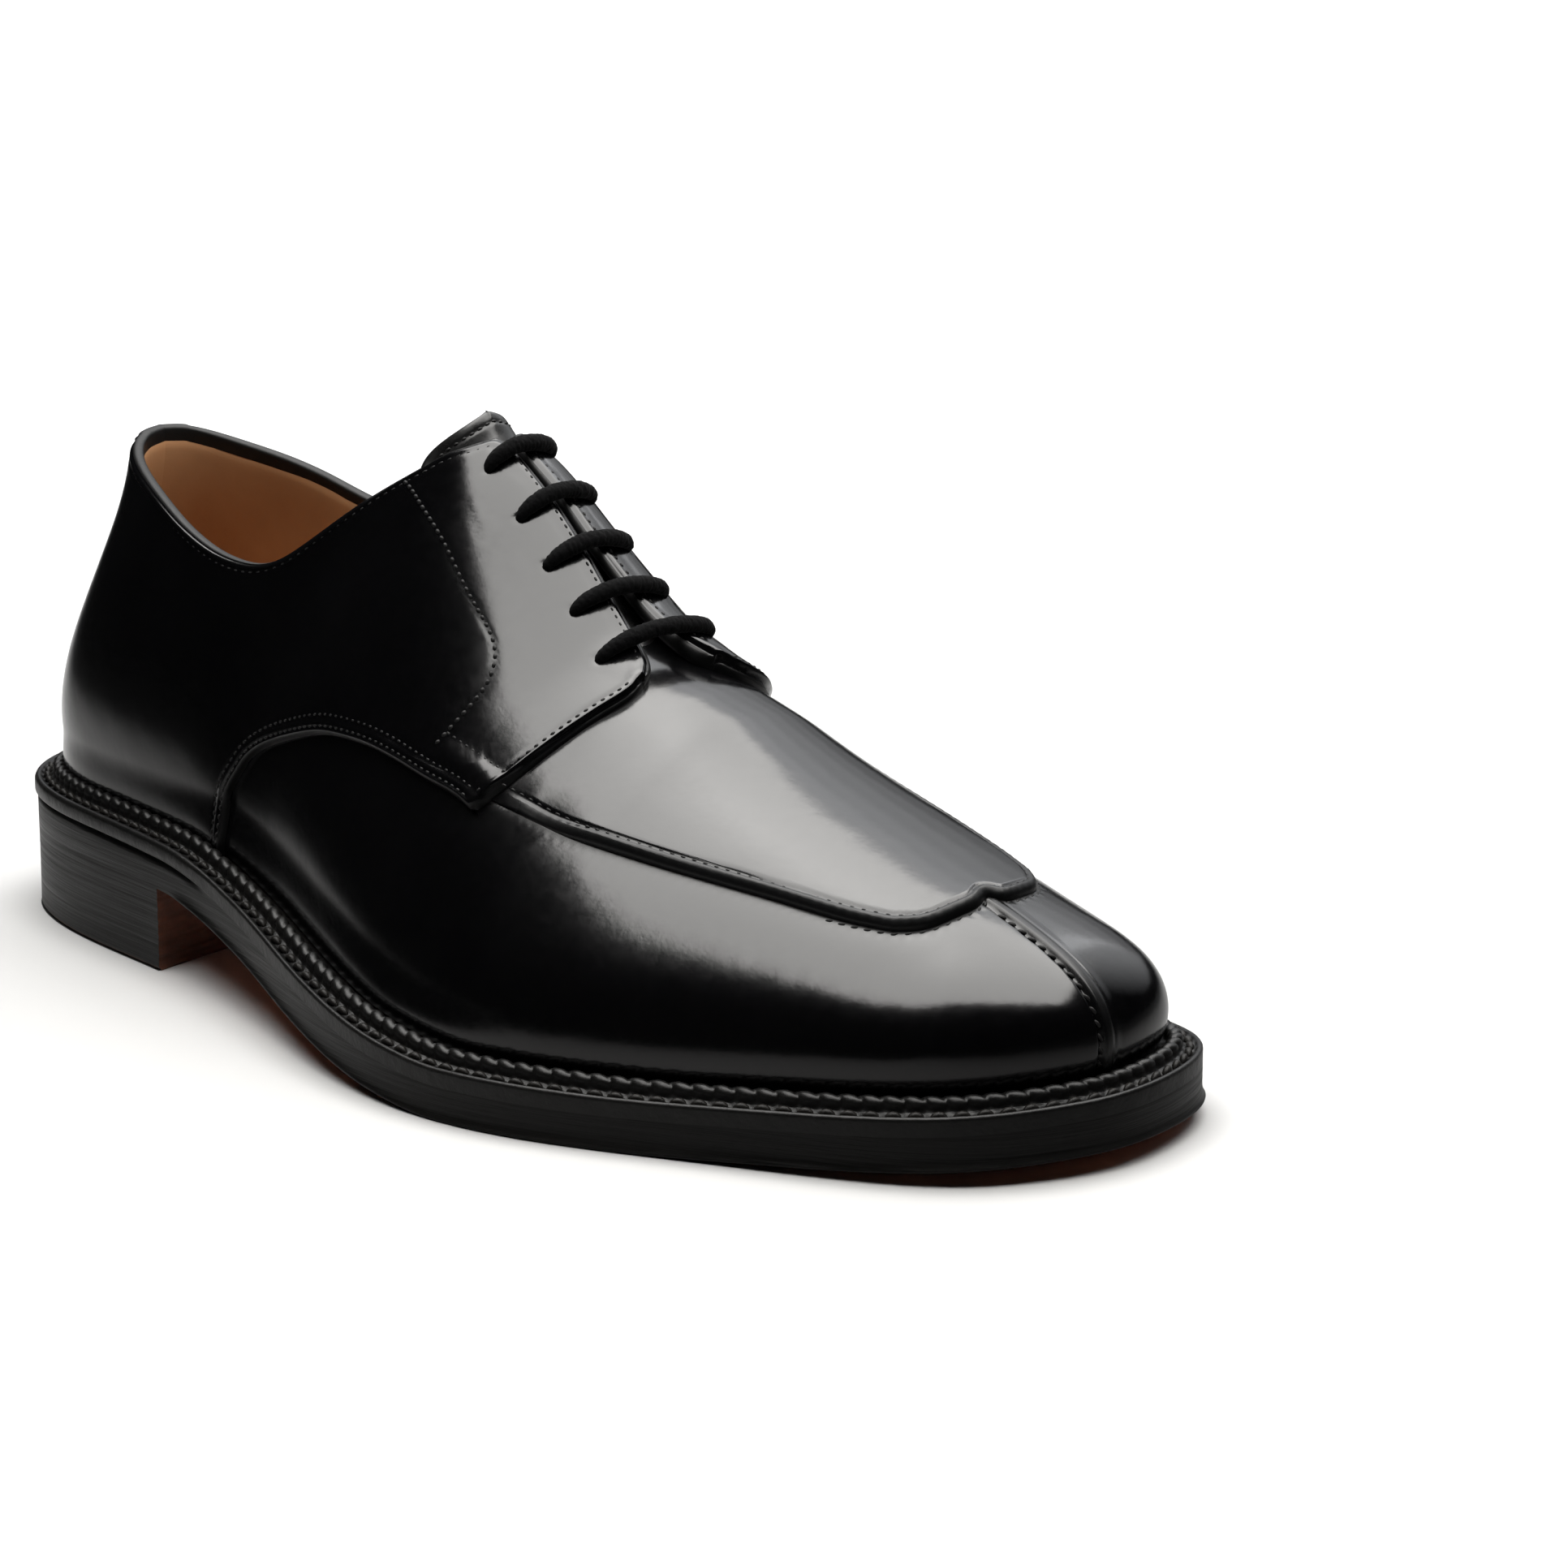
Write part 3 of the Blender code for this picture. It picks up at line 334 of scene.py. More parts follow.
TAB_ROWS = table(Line, [(0.4775, 0.500, 0.465), (0.505, 0.521, 0.485), (0.534, 0.538, 0.500)])
THROAT_ROWS = table(Line, [
    (0.386, 0.965, 0.950), (0.436, 0.945, 0.945), (0.486, 0.930, 0.938), (0.512, 0.945, 0.950),
    (0.528, 1.000, 1.000),
])
APRON_EDGE_ROWS = table(Line, [
    (0.550, 0.500, 0.544), (0.581, 0.512, 0.574), (0.623, 0.536, 0.606), (0.681, 0.568, 0.644),
    (0.750, 0.606, 0.678), (0.802, 0.630, 0.696), (0.834, 0.656, 0.712), (0.861, 0.716, 0.764),
    (0.888, 0.814, 0.848), (1.000, 0.975, 0.975),
])
EYELETS = [
    (Line(0.382, 0.870, None), Line(0.382, None, 0.872)),
    (Line(0.418, 0.850, None), Line(0.419, None, 0.858)),
    (Line(0.450, 0.837, None), Line(0.453, None, 0.848)),
    (Line(0.480, 0.833, None), Line(0.485, None, 0.838)),
    (Line(0.514, 0.817, None), Line(0.520, None, 0.815)),
]
Apron = namedtuple("Apron", "x lateral medial")
APRON_ROWS = table(Apron, [
    (160.0, -35.6, 30.6), (170.0, -37.0, 32.0), (181.5, -36.6, 32.4), (191.4, -36.0, 32.4),
    (204.5, -33.8, 31.6), (221.8, -29.4, 29.8), (241.6, -23.8, 27.2), (256.0, -19.9, 24.6),
    (263.5, -17.0, 22.4),
])
APRON_FRONT = [(263.5, -17.0), (268.3, -12.4), (270.2, -6.0), (270.2, 0.5), (269.3, 3.5), (270.9, 5.4),
               (270.9, 12.0), (268.7, 18.2), (263.5, 22.4)]


def sole_outline(count=3200):
    """Dense closed outline of the sole: place (0 heel, 1 toe, 2 heel), points, outward normals, run."""
    pts = [HEEL_END] + [(r.x, r.lateral) for r in SOLE_ROWS] + [TOE_END]
    pts += [(r.x, r.medial) for r in reversed(SOLE_ROWS)] + [HEEL_END]
    pts = np.array(pts)
    knots = run_along(pts, 0.5)
    u = np.linspace(0, knots[-1], count + 1)
    c = spline(knots, pts, u, True)
    run = run_along(c)
    toe = np.interp(knots[len(SOLE_ROWS) + 1], u, run)
    place = np.where(run <= toe, run / toe, 1 + (run - toe) / (run[-1] - toe))
    d = np.gradient(c, axis=0)
    d[0] = d[-1] = c[1] - c[-2]
    d = unit(d)
    return place, c, np.stack([d[:, 1], -d[:, 0]], -1), run


OUT_PLACE, OUT_POINT, OUT_NORMAL, OUT_RUN = sole_outline()
MIDDLE = (OUT_POINT.min(axis=0) + OUT_POINT.max(axis=0)) / 2


def ring(place, inset=0.0):
    """Points of the sole outline moved inward, and the outward normals there."""
    place = np.mod(place, 2.0)
    c = read_at(place, OUT_PLACE, OUT_POINT)
    n = unit(read_at(place, OUT_PLACE, OUT_NORMAL))
    return c - n * np.asarray(inset, float)[..., None], n


def ease(x):
    """Smooth step from 0 to 1."""
    x = np.clip(x, 0.0, 1.0)
    return x * x * (3 - 2 * x)


def quarter_round(x):
    """Rounded shoulder, from 0 at an edge to 1."""
    return np.sqrt(np.maximum(1 - (1 - np.clip(x, 0, 1)) ** 2, 0))


def bump(x, width):
    """Soft hump of height 1 about 0."""
    return np.exp(-(np.asarray(x) / width) ** 2)


def last(side, place, share):
    """Point on the last: place 0 heel to 1 toe, share 0 at the feather edge to 1 at the crest."""
    place = np.asarray(place, float)
    rows = LATERAL_RIBS if side == LATERAL else MEDIAL_RIBS
    v = spline([r.place for r in rows], [r[1:] for r in rows], np.clip(place, 0, 1))
    top = v[..., :3]
    flare, rise, crown, drop, aim = np.moveaxis(v[..., 3:], -1, 0)
    foot, normal = ring(place if side == LATERAL else 2 - place, FEATHER_INSET)
    foot = np.concatenate([foot, (tread(foot[..., 0]) + SOLE_TOP + FEATHER_RISE)[..., None]], -1)
    low = foot + np.concatenate([normal * flare[..., None], rise[..., None]], -1)
    xs = [r.x for r in CREST_ROWS]
    zs = [(r.z,) for r in CREST_ROWS]
    fall = (spline(xs, zs, top[..., 0] + 0.5) - spline(xs, zs, top[..., 0] - 0.5))[..., 0]
    fall = fall * np.clip((place - INSTEP_TOP) / INSTEP_BLEND, 0, 1)
    head = np.stack([np.cos(np.radians(aim)), np.sin(np.radians(aim)), fall * np.cos(np.radians(aim))], -1)
    high = top + crown[..., None] * head
    high[..., 2] -= drop
    t = np.asarray(share, float)[..., None]
    return foot * (1 - t) ** 3 + 3 * low * t * (1 - t) ** 2 + 3 * high * t * t * (1 - t) + top * t ** 3


def side_value(row, side):
    """A row's value on one side."""
    return row.lateral if side == LATERAL else row.medial


def line_share(rows, side, place):
    """Share up the rib of a pattern line at a place along the outline."""
    return np.interp(place, [r.place for r in rows], [side_value(r, side) for r in rows])


def sink(side, place, share):
    """How far the vamp lies below the form, to leave room for what is sewn over it."""
    rear = REAR_DROP * ease((REAR_END - place) / REAR_BLEND) * ease(share / FOOT_BLEND)
    under = share - line_share(APRON_EDGE_ROWS, side, place)
    plug = APRON_DROP * ease((under + PLUG_REACH) / PLUG_BLEND) * ease((place - PLUG_START) / PLUG_EASE)
    return np.maximum(rear, plug)


def vamp_form(side, place, share):
    """Points on the vamp and the outward normals there."""
    place = np.asarray(place, float)
    share = np.asarray(share, float)
    e = 0.004
    along = last(side, np.clip(place + e, 0, 1), share) - last(side, np.clip(place - e, 0, 1), share)
    up_to = np.minimum(share + e, 0.9995)
    up = last(side, place, up_to) - last(side, place, up_to - 2 * e)
    n = unit(np.cross(along, up) if side == LATERAL else np.cross(up, along))
    meet = (ease((share - 0.88) / 0.10) * ease((place - 0.82) / 0.06))[..., None]
    n = unit(n * (1 - meet) + TOE_CREST_NORMAL * meet)
    return last(side, place, share) - n * sink(side, place, share)[..., None], n


def across(place, sweep, offset):
    """Point near the crest: sweep below 0 on the lateral side, above 0 on the medial side."""
    place = np.asarray(place, float)
    sweep = np.asarray(sweep, float)
    offset = np.broadcast_to(np.asarray(offset, float), sweep.shape)[..., None]
    p0, n0 = vamp_form(LATERAL, place, 1 - np.abs(sweep))
    p1, n1 = vamp_form(MEDIAL, place, 1 - np.abs(sweep))
    blend = np.clip(0.5 + sweep / CREST_BLEND, 0, 1)[..., None]
    return (p0 + n0 * offset) * (1 - blend) + (p1 + n1 * offset) * blend


# Lines and nets
def resample(points, step):
    """A polyline again, in even steps."""
    p = np.asarray(points, float)
    run = run_along(p)
    at = np.linspace(0, run[-1], max(2, int(round(run[-1] / step)) + 1))
    return read_at(at, run, p)


def smooth_line(points, step=LINE_STEP):
    """Smooth curve through points, in even steps."""
    p = np.asarray(points, float)
    knots = run_along(p, 0.7)
    return resample(spline(knots, p, np.linspace(0, knots[-1], 40 * len(p))), step)


def pattern(rows, side):
    """A pattern line as points of the flat pattern, mm."""
    return [(r.place * LENGTH_SCALE, side_value(r, side) * GIRTH_SCALE) for r in rows]


def on_form(side, flat, offset=0.0):
    """Points of the flat pattern, laid on the vamp: points and normals."""
    flat = np.asarray(flat, float)
    p, n = vamp_form(side, flat[..., 0] / LENGTH_SCALE, flat[..., 1] / GIRTH_SCALE)
    return p + n * offset, n


def reach(points, line):
    """Distance from each point to a polyline, and how far along it the nearest place is."""
    pts = points.reshape(-1, points.shape[-1])
    start = line[:-1]
    d = np.diff(line, axis=0)
    len2 = np.maximum((d ** 2).sum(1), 1e-12)
    before = np.r_[0, np.cumsum(np.sqrt(len2))][:-1]
    away = np.empty(len(pts))
    run = np.empty(len(pts))
    block = 4000
    for k in range(0, len(pts), block):
        rel = pts[k:k + block, None] - start
        t = np.clip((rel * d).sum(-1) / len2, 0, 1)
        dist = np.linalg.norm(rel - d * t[..., None], axis=-1)
        i = dist.argmin(axis=1)
        row = np.arange(len(i))
        away[k:k + block] = dist[row, i]
        run[k:k + block] = before[i] + t[row, i] * np.sqrt(len2[i])
    return away.reshape(points.shape[:-1]), run.reshape(points.shape[:-1])


def coons(bottom, right, top, left, u, v):
    """Net spanned between four lines."""
    def at(line, s):
        run = run_along(line)
        return read_at(s * run[-1], run, line)
    b = at(bottom, u)[:, None]
    t = at(top, u)[:, None]
    lf = at(left, v)[None]
    r = at(right, v)[None]
    uu = u[:, None, None]
    vv = v[None, :, None]
    corners = ((1 - uu) * (1 - vv) * bottom[0] + uu * (1 - vv) * bottom[-1]
               + (1 - uu) * vv * top[0] + uu * vv * top[-1])
    return (1 - vv) * b + vv * t + (1 - uu) * lf + uu * r - corners


def settle(bottom, right, top, left, u, v):
    """Net between four lines, evened out so that no cell folds over."""
    cu = np.linspace(0, 1, 55)
    cv = np.linspace(0, 1, 43)
    start = coons(bottom, right, top, left, cu, cv)
    net = start.copy()
    for _ in range(2500):
        du = (net[2:, 1:-1] - net[:-2, 1:-1]) / 2
        dv = (net[1:-1, 2:] - net[1:-1, :-2]) / 2
        a = (dv ** 2).sum(-1, keepdims=True)
        b = (du * dv).sum(-1, keepdims=True)
        g = (du ** 2).sum(-1, keepdims=True)
        twist = net[2:, 2:] - net[2:, :-2] - net[:-2, 2:] + net[:-2, :-2]
        even = a * (net[2:, 1:-1] + net[:-2, 1:-1]) + g * (net[1:-1, 2:] + net[1:-1, :-2]) - b * twist / 2
        net[1:-1, 1:-1] += 0.8 * (even / (2 * (a + g)) - net[1:-1, 1:-1])
    shift = net - start
    rows = np.stack([[np.interp(u, cu, shift[:, j, k]) for j in range(len(cv))] for k in (0, 1)])
    fine = np.stack([[np.interp(v, cv, rows[k, :, i]) for i in range(len(u))] for k in (0, 1)], -1)
    return coons(bottom, right, top, left, u, v) + fine


def graded(count, extra):
    """Even steps from 0 to 1 with extra ones near the end, given as shares."""
    return np.union1d(np.linspace(0, 1, count), 1 - np.array(extra))


EDGE_STEPS = (0.0005, 0.0012, 0.002, 0.0028, 0.0036, 0.0045, 0.0056, 0.007, 0.009, 0.0115, 0.0145)
COLLAR_STEPS = (0.0012, 0.003, 0.0055, 0.009, 0.013)
RIM_STEPS = np.array([0.0025, 0.006, 0.010, 0.015, 0.02, 0.026, 0.033, 0.04, 0.047, 0.055, 0.063])


def ripple(points, size, seed):
    """Soft uneven waves about `size` mm long, from a few fixed directions."""
    rng = np.random.default_rng(seed)
    k = rng.normal(size=(10, 3))
    k /= np.linalg.norm(k, axis=1, keepdims=True)
    k *= 2 * np.pi / size * rng.uniform(0.7, 1.5, size=(10, 1))
    return np.sin(points @ k.T + rng.uniform(0, 6.3, 10)).mean(axis=-1) * 2.2


# Making meshes
def to_scene(points):
    """Millimetre points in the frame of the solids, in metres."""
    p = np.asarray(points, float).reshape(-1, 3).copy()
    p[:, :2] -= MIDDLE
    return p / 1000


def show(name, data):
    """Object that holds the data, put in the scene."""
    obj = bpy.data.objects.new(name, data)
    bpy.context.scene.collection.objects.link(obj)
    return obj


def add_piece(name, verts, faces, material, nodes=(), wear=None):
    """Mesh piece from millimetre points, riding on the shoe; wear from 0 to 1 dulls its polish."""
    mesh = bpy.data.meshes.new(name)
    mesh.from_pydata(to_scene(verts).tolist(), [], faces)
    mesh.polygons.foreach_set("use_smooth", np.ones(len(mesh.polygons), bool))
    mesh.materials.append(material)
    if wear is not None:
        mesh.attributes.new("wear", "FLOAT", "POINT").data.foreach_set("value", wear.astype(np.float32))
    mesh.update()
    obj = show(name, mesh)
    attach(obj, "root")
    if nodes:
        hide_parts(*nodes)


def grid_faces(rows, cols, base=0, wrap=False, flip=False):
    """Quads of a grid of points."""
    i, j = np.meshgrid(np.arange(rows if wrap else rows - 1), np.arange(cols - 1), indexing="ij")
    k = (i + 1) % rows
    q = np.stack([i * cols + j, k * cols + j, k * cols + j + 1, i * cols + j + 1], -1).reshape(-1, 4) + base
    return (q[:, ::-1] if flip else q).tolist()


class Heap:
    """Several grids gathered into one mesh."""

    def __init__(self):
        self.verts = []
        self.faces = []
        self.wear = []
        self.count = 0

    def grid(self, points, wrap=False, flip=False, wear=None):
        rows, cols = points.shape[:2]
        self.faces += grid_faces(rows, cols, self.count, wrap, flip)
        self.verts.append(points.reshape(-1, 3))
        self.wear.append(np.zeros(rows * cols) if wear is None else wear.reshape(-1))
        self.count += rows * cols

    def add(self, name, material, slot, nodes=()):
        wear = np.concatenate(self.wear)
        wear = wear if wear.any() else None
        add_piece(name, np.vstack(self.verts), self.faces, material, nodes, wear)


def add_sheet(name, points, material, slot, nodes=(), **how):
    """One grid of points as a piece of its own."""
    heap = Heap()
    heap.grid(points, **how)
    heap.add(name, material, slot, nodes)


def stitch_row(heap, line, normals, pitch, length, width, lift, slant=0.0):
    """Thread stitches set along a line."""
    run = run_along(line)
    count = int(run[-1] / pitch)
    at = (np.arange(count) + 0.5) * run[-1] / count
    p = read_at(at, run, line)
    t = unit(read_at(at + AIM_STEP, run, line) - read_at(at - AIM_STEP, run, line))
    n = read_at(at, run, normals)
    n = unit(n - t * (n * t).sum(1, keepdims=True))
    t = t * np.cos(slant) + np.cross(n, t) * np.sin(slant)
    b = np.cross(n, t)
    turn = np.linspace(0, 2 * np.pi, 7)
    steps = np.array([-1.0, -0.86, -0.45, 0.0, 0.45, 0.86, 1.0])
    girth = np.array([0.05, 0.6, 0.95, 1.0, 0.95, 0.6, 0.05])[:, None]
    dip = np.array([-0.9, -0.45, -0.05, 0.1, -0.05, -0.45, -0.9])
    for k in range(count):
        c = p[k] + n[k] * lift
        spine = c + np.outer(steps * length / 2, t[k]) + np.outer(dip * width * 0.5, n[k])
        across_it = (girth * np.cos(turn) * width / 2)[..., None] * b[k]
        out_of_it = (girth * np.sin(turn) * width / 2)[..., None] * n[k]
        heap.grid(spine[:, None] + across_it + out_of_it, flip=True)


def offset_line(line, shift):
    """A flat line moved sideways; positive is to its left."""
    d = unit(np.gradient(line, axis=0))
    return line + np.stack([-d[:, 1], d[:, 0]], -1) * shift


def offset_plan(line, shift):
    """A plan line in even steps, moved sideways."""
    return resample(offset_line(resample(line, LINE_STEP), shift), LINE_STEP)


def distance(points, side, flat_line):
    """Distance from points to a pattern line laid on the form."""
    return reach(points, resample(on_form(side, flat_line)[0], FORM_STEP))[0]


# Materials
def grey(tone):
    return (tone, tone, tone)


def new_material(name):
    m = bpy.data.materials.new(name)
    m.use_nodes = True
    tree = m.node_tree
    return m, tree, tree.nodes["Principled BSDF"]


def set_inputs(node, **values):
    """Values on a node's inputs, each named by its socket with _ for a space."""
    for socket, value in values.items():
        node.inputs[socket.replace("_", " ")].default_value = value


def add_node(tree, kind, **values):
    """Shader node with values on its inputs."""
    node = tree.nodes.new("ShaderNode" + kind)
    set_inputs(node, **values)
    return node


def noise(tree, scale, detail=3.0, rough=0.55, stretch=(1, 1, 1)):
    """Output of a noise that stays on the object."""
    place = add_node(tree, "TexCoord")
    fit = add_node(tree, "Mapping", Scale=stretch)
    n = add_node(tree, "TexNoise", Scale=scale, Detail=detail, Roughness=rough)
    tree.links.new(place.outputs["Object"], fit.inputs["Vector"])
    tree.links.new(fit.outputs["Vector"], n.inputs["Vector"])
    return n.outputs["Fac"]


def ramp(tree, source, low, high, start=0.3, end=0.7):
    """Output from low to high while the source goes from start to end."""
    r = add_node(tree, "MapRange", From_Min=start, From_Max=end, To_Min=low, To_Max=high)
    tree.links.new(source, r.inputs["Value"])
    return r.outputs["Result"]


def colours(tree, source, low, high, start=0.3, end=0.7):
    """Colour from low to high while the source goes from start to end."""
    c = add_node(tree, "ValToRGB")
    for element, position, colour in zip(c.color_ramp.elements, (start, end), (low, high)):
        element.position = position
        element.color = (*colour, 1)
    tree.links.new(source, c.inputs["Fac"])
    return c.outputs["Color"]


def bump_chain(tree, shader, layers):
    """Bump layers, each (height output, strength, distance in metres)."""
    normal = None
    for source, strength, depth in layers:
        b = add_node(tree, "Bump", Strength=strength, Distance=depth)
        tree.links.new(source, b.inputs["Height"])
        if normal is not None:
            tree.links.new(normal, b.inputs["Normal"])
        normal = b.outputs["Normal"]
    tree.links.new(normal, shader.inputs["Normal"])


def leather_material(name, low, high, rough, gloss, grain):
    """Leather with fine grain, faint mottling and uneven polish, dull where the mesh says it is worn."""
    m, tree, s = new_material(name)
    mottle = noise(tree, MOTTLE_SCALE)
    pores = noise(tree, PORE_SCALE, 4.0, 0.65)
    worn = add_node(tree, "Attribute")
    worn.attribute_name = "wear"
    dull = add_node(tree, "Math")
    dull.operation = "MULTIPLY_ADD"
    dull.inputs[1].default_value = WORN_ROUGH
    tree.links.new(worn.outputs["Fac"], dull.inputs[0])
    tree.links.new(ramp(tree, pores, rough - 0.02, rough + 0.03), dull.inputs[2])
    shine = ramp(tree, worn.outputs["Fac"], gloss, gloss * WORN_GLOSS, 0.0, 1.0)
    tree.links.new(colours(tree, mottle, low, high), s.inputs["Base Color"])
    tree.links.new(dull.outputs["Value"], s.inputs["Roughness"])
    tree.links.new(shine, s.inputs["Specular IOR Level"])
    wavy = noise(tree, WAVE_SCALE, 3.0, 0.6)
    fine = noise(tree, GRAIN_SCALE, 2.0)
    layers = [(wavy, grain, WAVE_DEPTH), (pores, grain, PORE_DEPTH), (fine, grain * 0.8, GRAIN_DEPTH)]
    bump_chain(tree, s, layers)
    return m


def edge_material(name):
    """Black waxed edge of leather layers, with faint lines along it."""
    m, tree, s = new_material(name)
    lines = noise(tree, 60.0, 4.0, 0.6, stretch=(0.35, 0.35, 14.0))
    fine = noise(tree, 700.0, 2.0)
    tree.links.new(colours(tree, lines, grey(0.001), (0.004, 0.0037, 0.0034)), s.inputs["Base Color"])
    tree.links.new(ramp(tree, lines, 0.34, 0.52), s.inputs["Roughness"])
    set_inputs(s, Specular_IOR_Level=0.2)
    bump_chain(tree, s, [(lines, 0.6, 0.0004), (fine, 0.12, 0.0001)])
    return m


def thread_material(name, colour, rough):
    """Twisted thread, its colour darker where its bump is low: painted shade between its strands."""
    m, tree, s = new_material(name)
    twist = noise(tree, 2600.0, 2.0)
    painted_strand_shade = tuple(c * 0.6 for c in colour)
    # Painted shade: the colour darkens with the low places of the bump, between the strands
    tree.links.new(colours(tree, twist, painted_strand_shade, colour), s.inputs["Base Color"])
    set_inputs(s, Roughness=rough, Specular_IOR_Level=0.2)
    bump_chain(tree, s, [(twist, 0.4, 0.0001)])
    return m


def cord_material(name):
    """Matt cotton cord with a fine braid and a soft nap."""
    m, tree, s = new_material(name)
    fuzz = noise(tree, 2200.0, 3.0, 0.7)
    clump = noise(tree, 700.0, 2.0)
    black = colours(tree, fuzz, (0.0003, 0.0003, 0.0004), (0.0024, 0.0024, 0.0027))
    tree.links.new(black, s.inputs["Base Color"])
    set_inputs(s, Roughness=0.9, Specular_IOR_Level=0.08, Sheen_Weight=0.015, Sheen_Roughness=0.5)
    bump_chain(tree, s, [(clump, 0.5, 0.0003), (fuzz, 0.7, 0.00015)])
    return m


def brown_material(name, low, high, rough):
    """Bare or stained sole leather."""
    m, tree, s = new_material(name)
    broad = noise(tree, 55.0, 5.0, 0.65)
    fibre = noise(tree, 500.0, 3.0, 0.6, stretch=(0.5, 0.5, 3.0))
    tree.links.new(colours(tree, broad, low, high), s.inputs["Base Color"])
    set_inputs(s, Roughness=rough)
    bump_chain(tree, s, [(fibre, 0.25, 0.0003)])
    return m


CALF = leather_material("polished_black_calf", (0.0007, 0.0007, 0.0009), (0.0013, 0.0013, 0.0015),
                        rough=0.16, gloss=0.5, grain=0.06)
TONGUE_LEATHER = leather_material("black_tongue_calf", grey(0.0015), grey(0.003),
                                  rough=0.28, gloss=0.5, grain=0.12)
EDGE_LEATHER = leather_material("turned_edge", (0.0015, 0.0015, 0.0016), grey(0.0035),
                                rough=0.5, gloss=0.3, grain=0.2)
WELT_LEATHER = leather_material("black_welt_leather", grey(0.0015), (0.003, 0.0027, 0.0024),
                                rough=0.40, gloss=0.28, grain=0.4)
LINING = leather_material("tan_lining", (0.34, 0.17, 0.075), (0.43, 0.235, 0.115),
                          rough=0.5, gloss=0.4, grain=0.1)
EDGE = edge_material("waxed_black_edge")
SOLE_LEATHER = brown_material("mahogany_sole", (0.30, 0.08, 0.034), (0.48, 0.155, 0.07), rough=0.42)
BREAST_LEATHER = brown_material("heel_breast_leather", (0.035, 0.013, 0.008), (0.18, 0.065, 0.034), rough=0.6)
RUBBER = brown_material("heel_rubber", grey(0.010), (0.02, 0.019, 0.018), rough=0.65)
WORN_EDGE = brown_material("worn_heel_edge", (0.004, 0.0035, 0.003), (0.09, 0.055, 0.035), rough=0.7)
THREAD = thread_material("black_thread", grey(0.010), rough=0.5)
WELT_THREAD = thread_material("waxed_welt_thread", (0.007, 0.006, 0.005), rough=0.5)
CORD = cord_material("lace_cotton")
stitches = Heap()


# How far the free front edge of each quarter stands up, at its seam and throat ends, and over what reach, mm
Lift = namedtuple("Lift", "seam throat spread")
FRONT_LIFT = {LATERAL: Lift(0.6, 1.3, 15.0), MEDIAL: Lift(1.2, 2.7, 20.0)}
# Soft creases of the facing: start and end on the pattern (place, share), depth and width in mm
Crease = namedtuple("Crease", "from_place from_share to_place to_share depth width")
FACING_CREASES = [
    Crease(0.392, 0.822, 0.414, 0.806, 0.05, 0.6),
    Crease(0.394, 0.808, 0.406, 0.800, 0.04, 0.5),
    Crease(0.430, 0.812, 0.446, 0.802, 0.05, 0.6),
    Crease(0.388, 0.780, 0.412, 0.752, 0.04, 0.9),
    Crease(0.350, 0.760, 0.378, 0.720, 0.16, 4.5),
    Crease(0.300, 0.540, 0.345, 0.520, 0.16, 4.0),
    Crease(0.250, 0.560, 0.300, 0.470, 0.14, 5.0),
]


def quarter_lines(side):
    """Edges of a quarter on the flat pattern: seam, front edge, collar and facing."""
    corner = pattern(CORNER_ROWS if side == LATERAL else MEDIAL_CORNER_ROWS, side)
    front = pattern(FRONT_ROWS if side == LATERAL else MEDIAL_FRONT_ROWS, side)
    top = pattern(COLLAR_ROWS, side)
    seam_line = smooth_line(pattern(SEAM_ROWS, side)[::-1])
    front_line = smooth_line([seam_line[-1]] + front[::-1] + corner[::-1][:2])
    facing = [top[-1]] + pattern(FACING_ROWS, side) + corner[:2] + [tuple(front_line[-1])]
    return seam_line, front_line, smooth_line(top), smooth_line(facing)


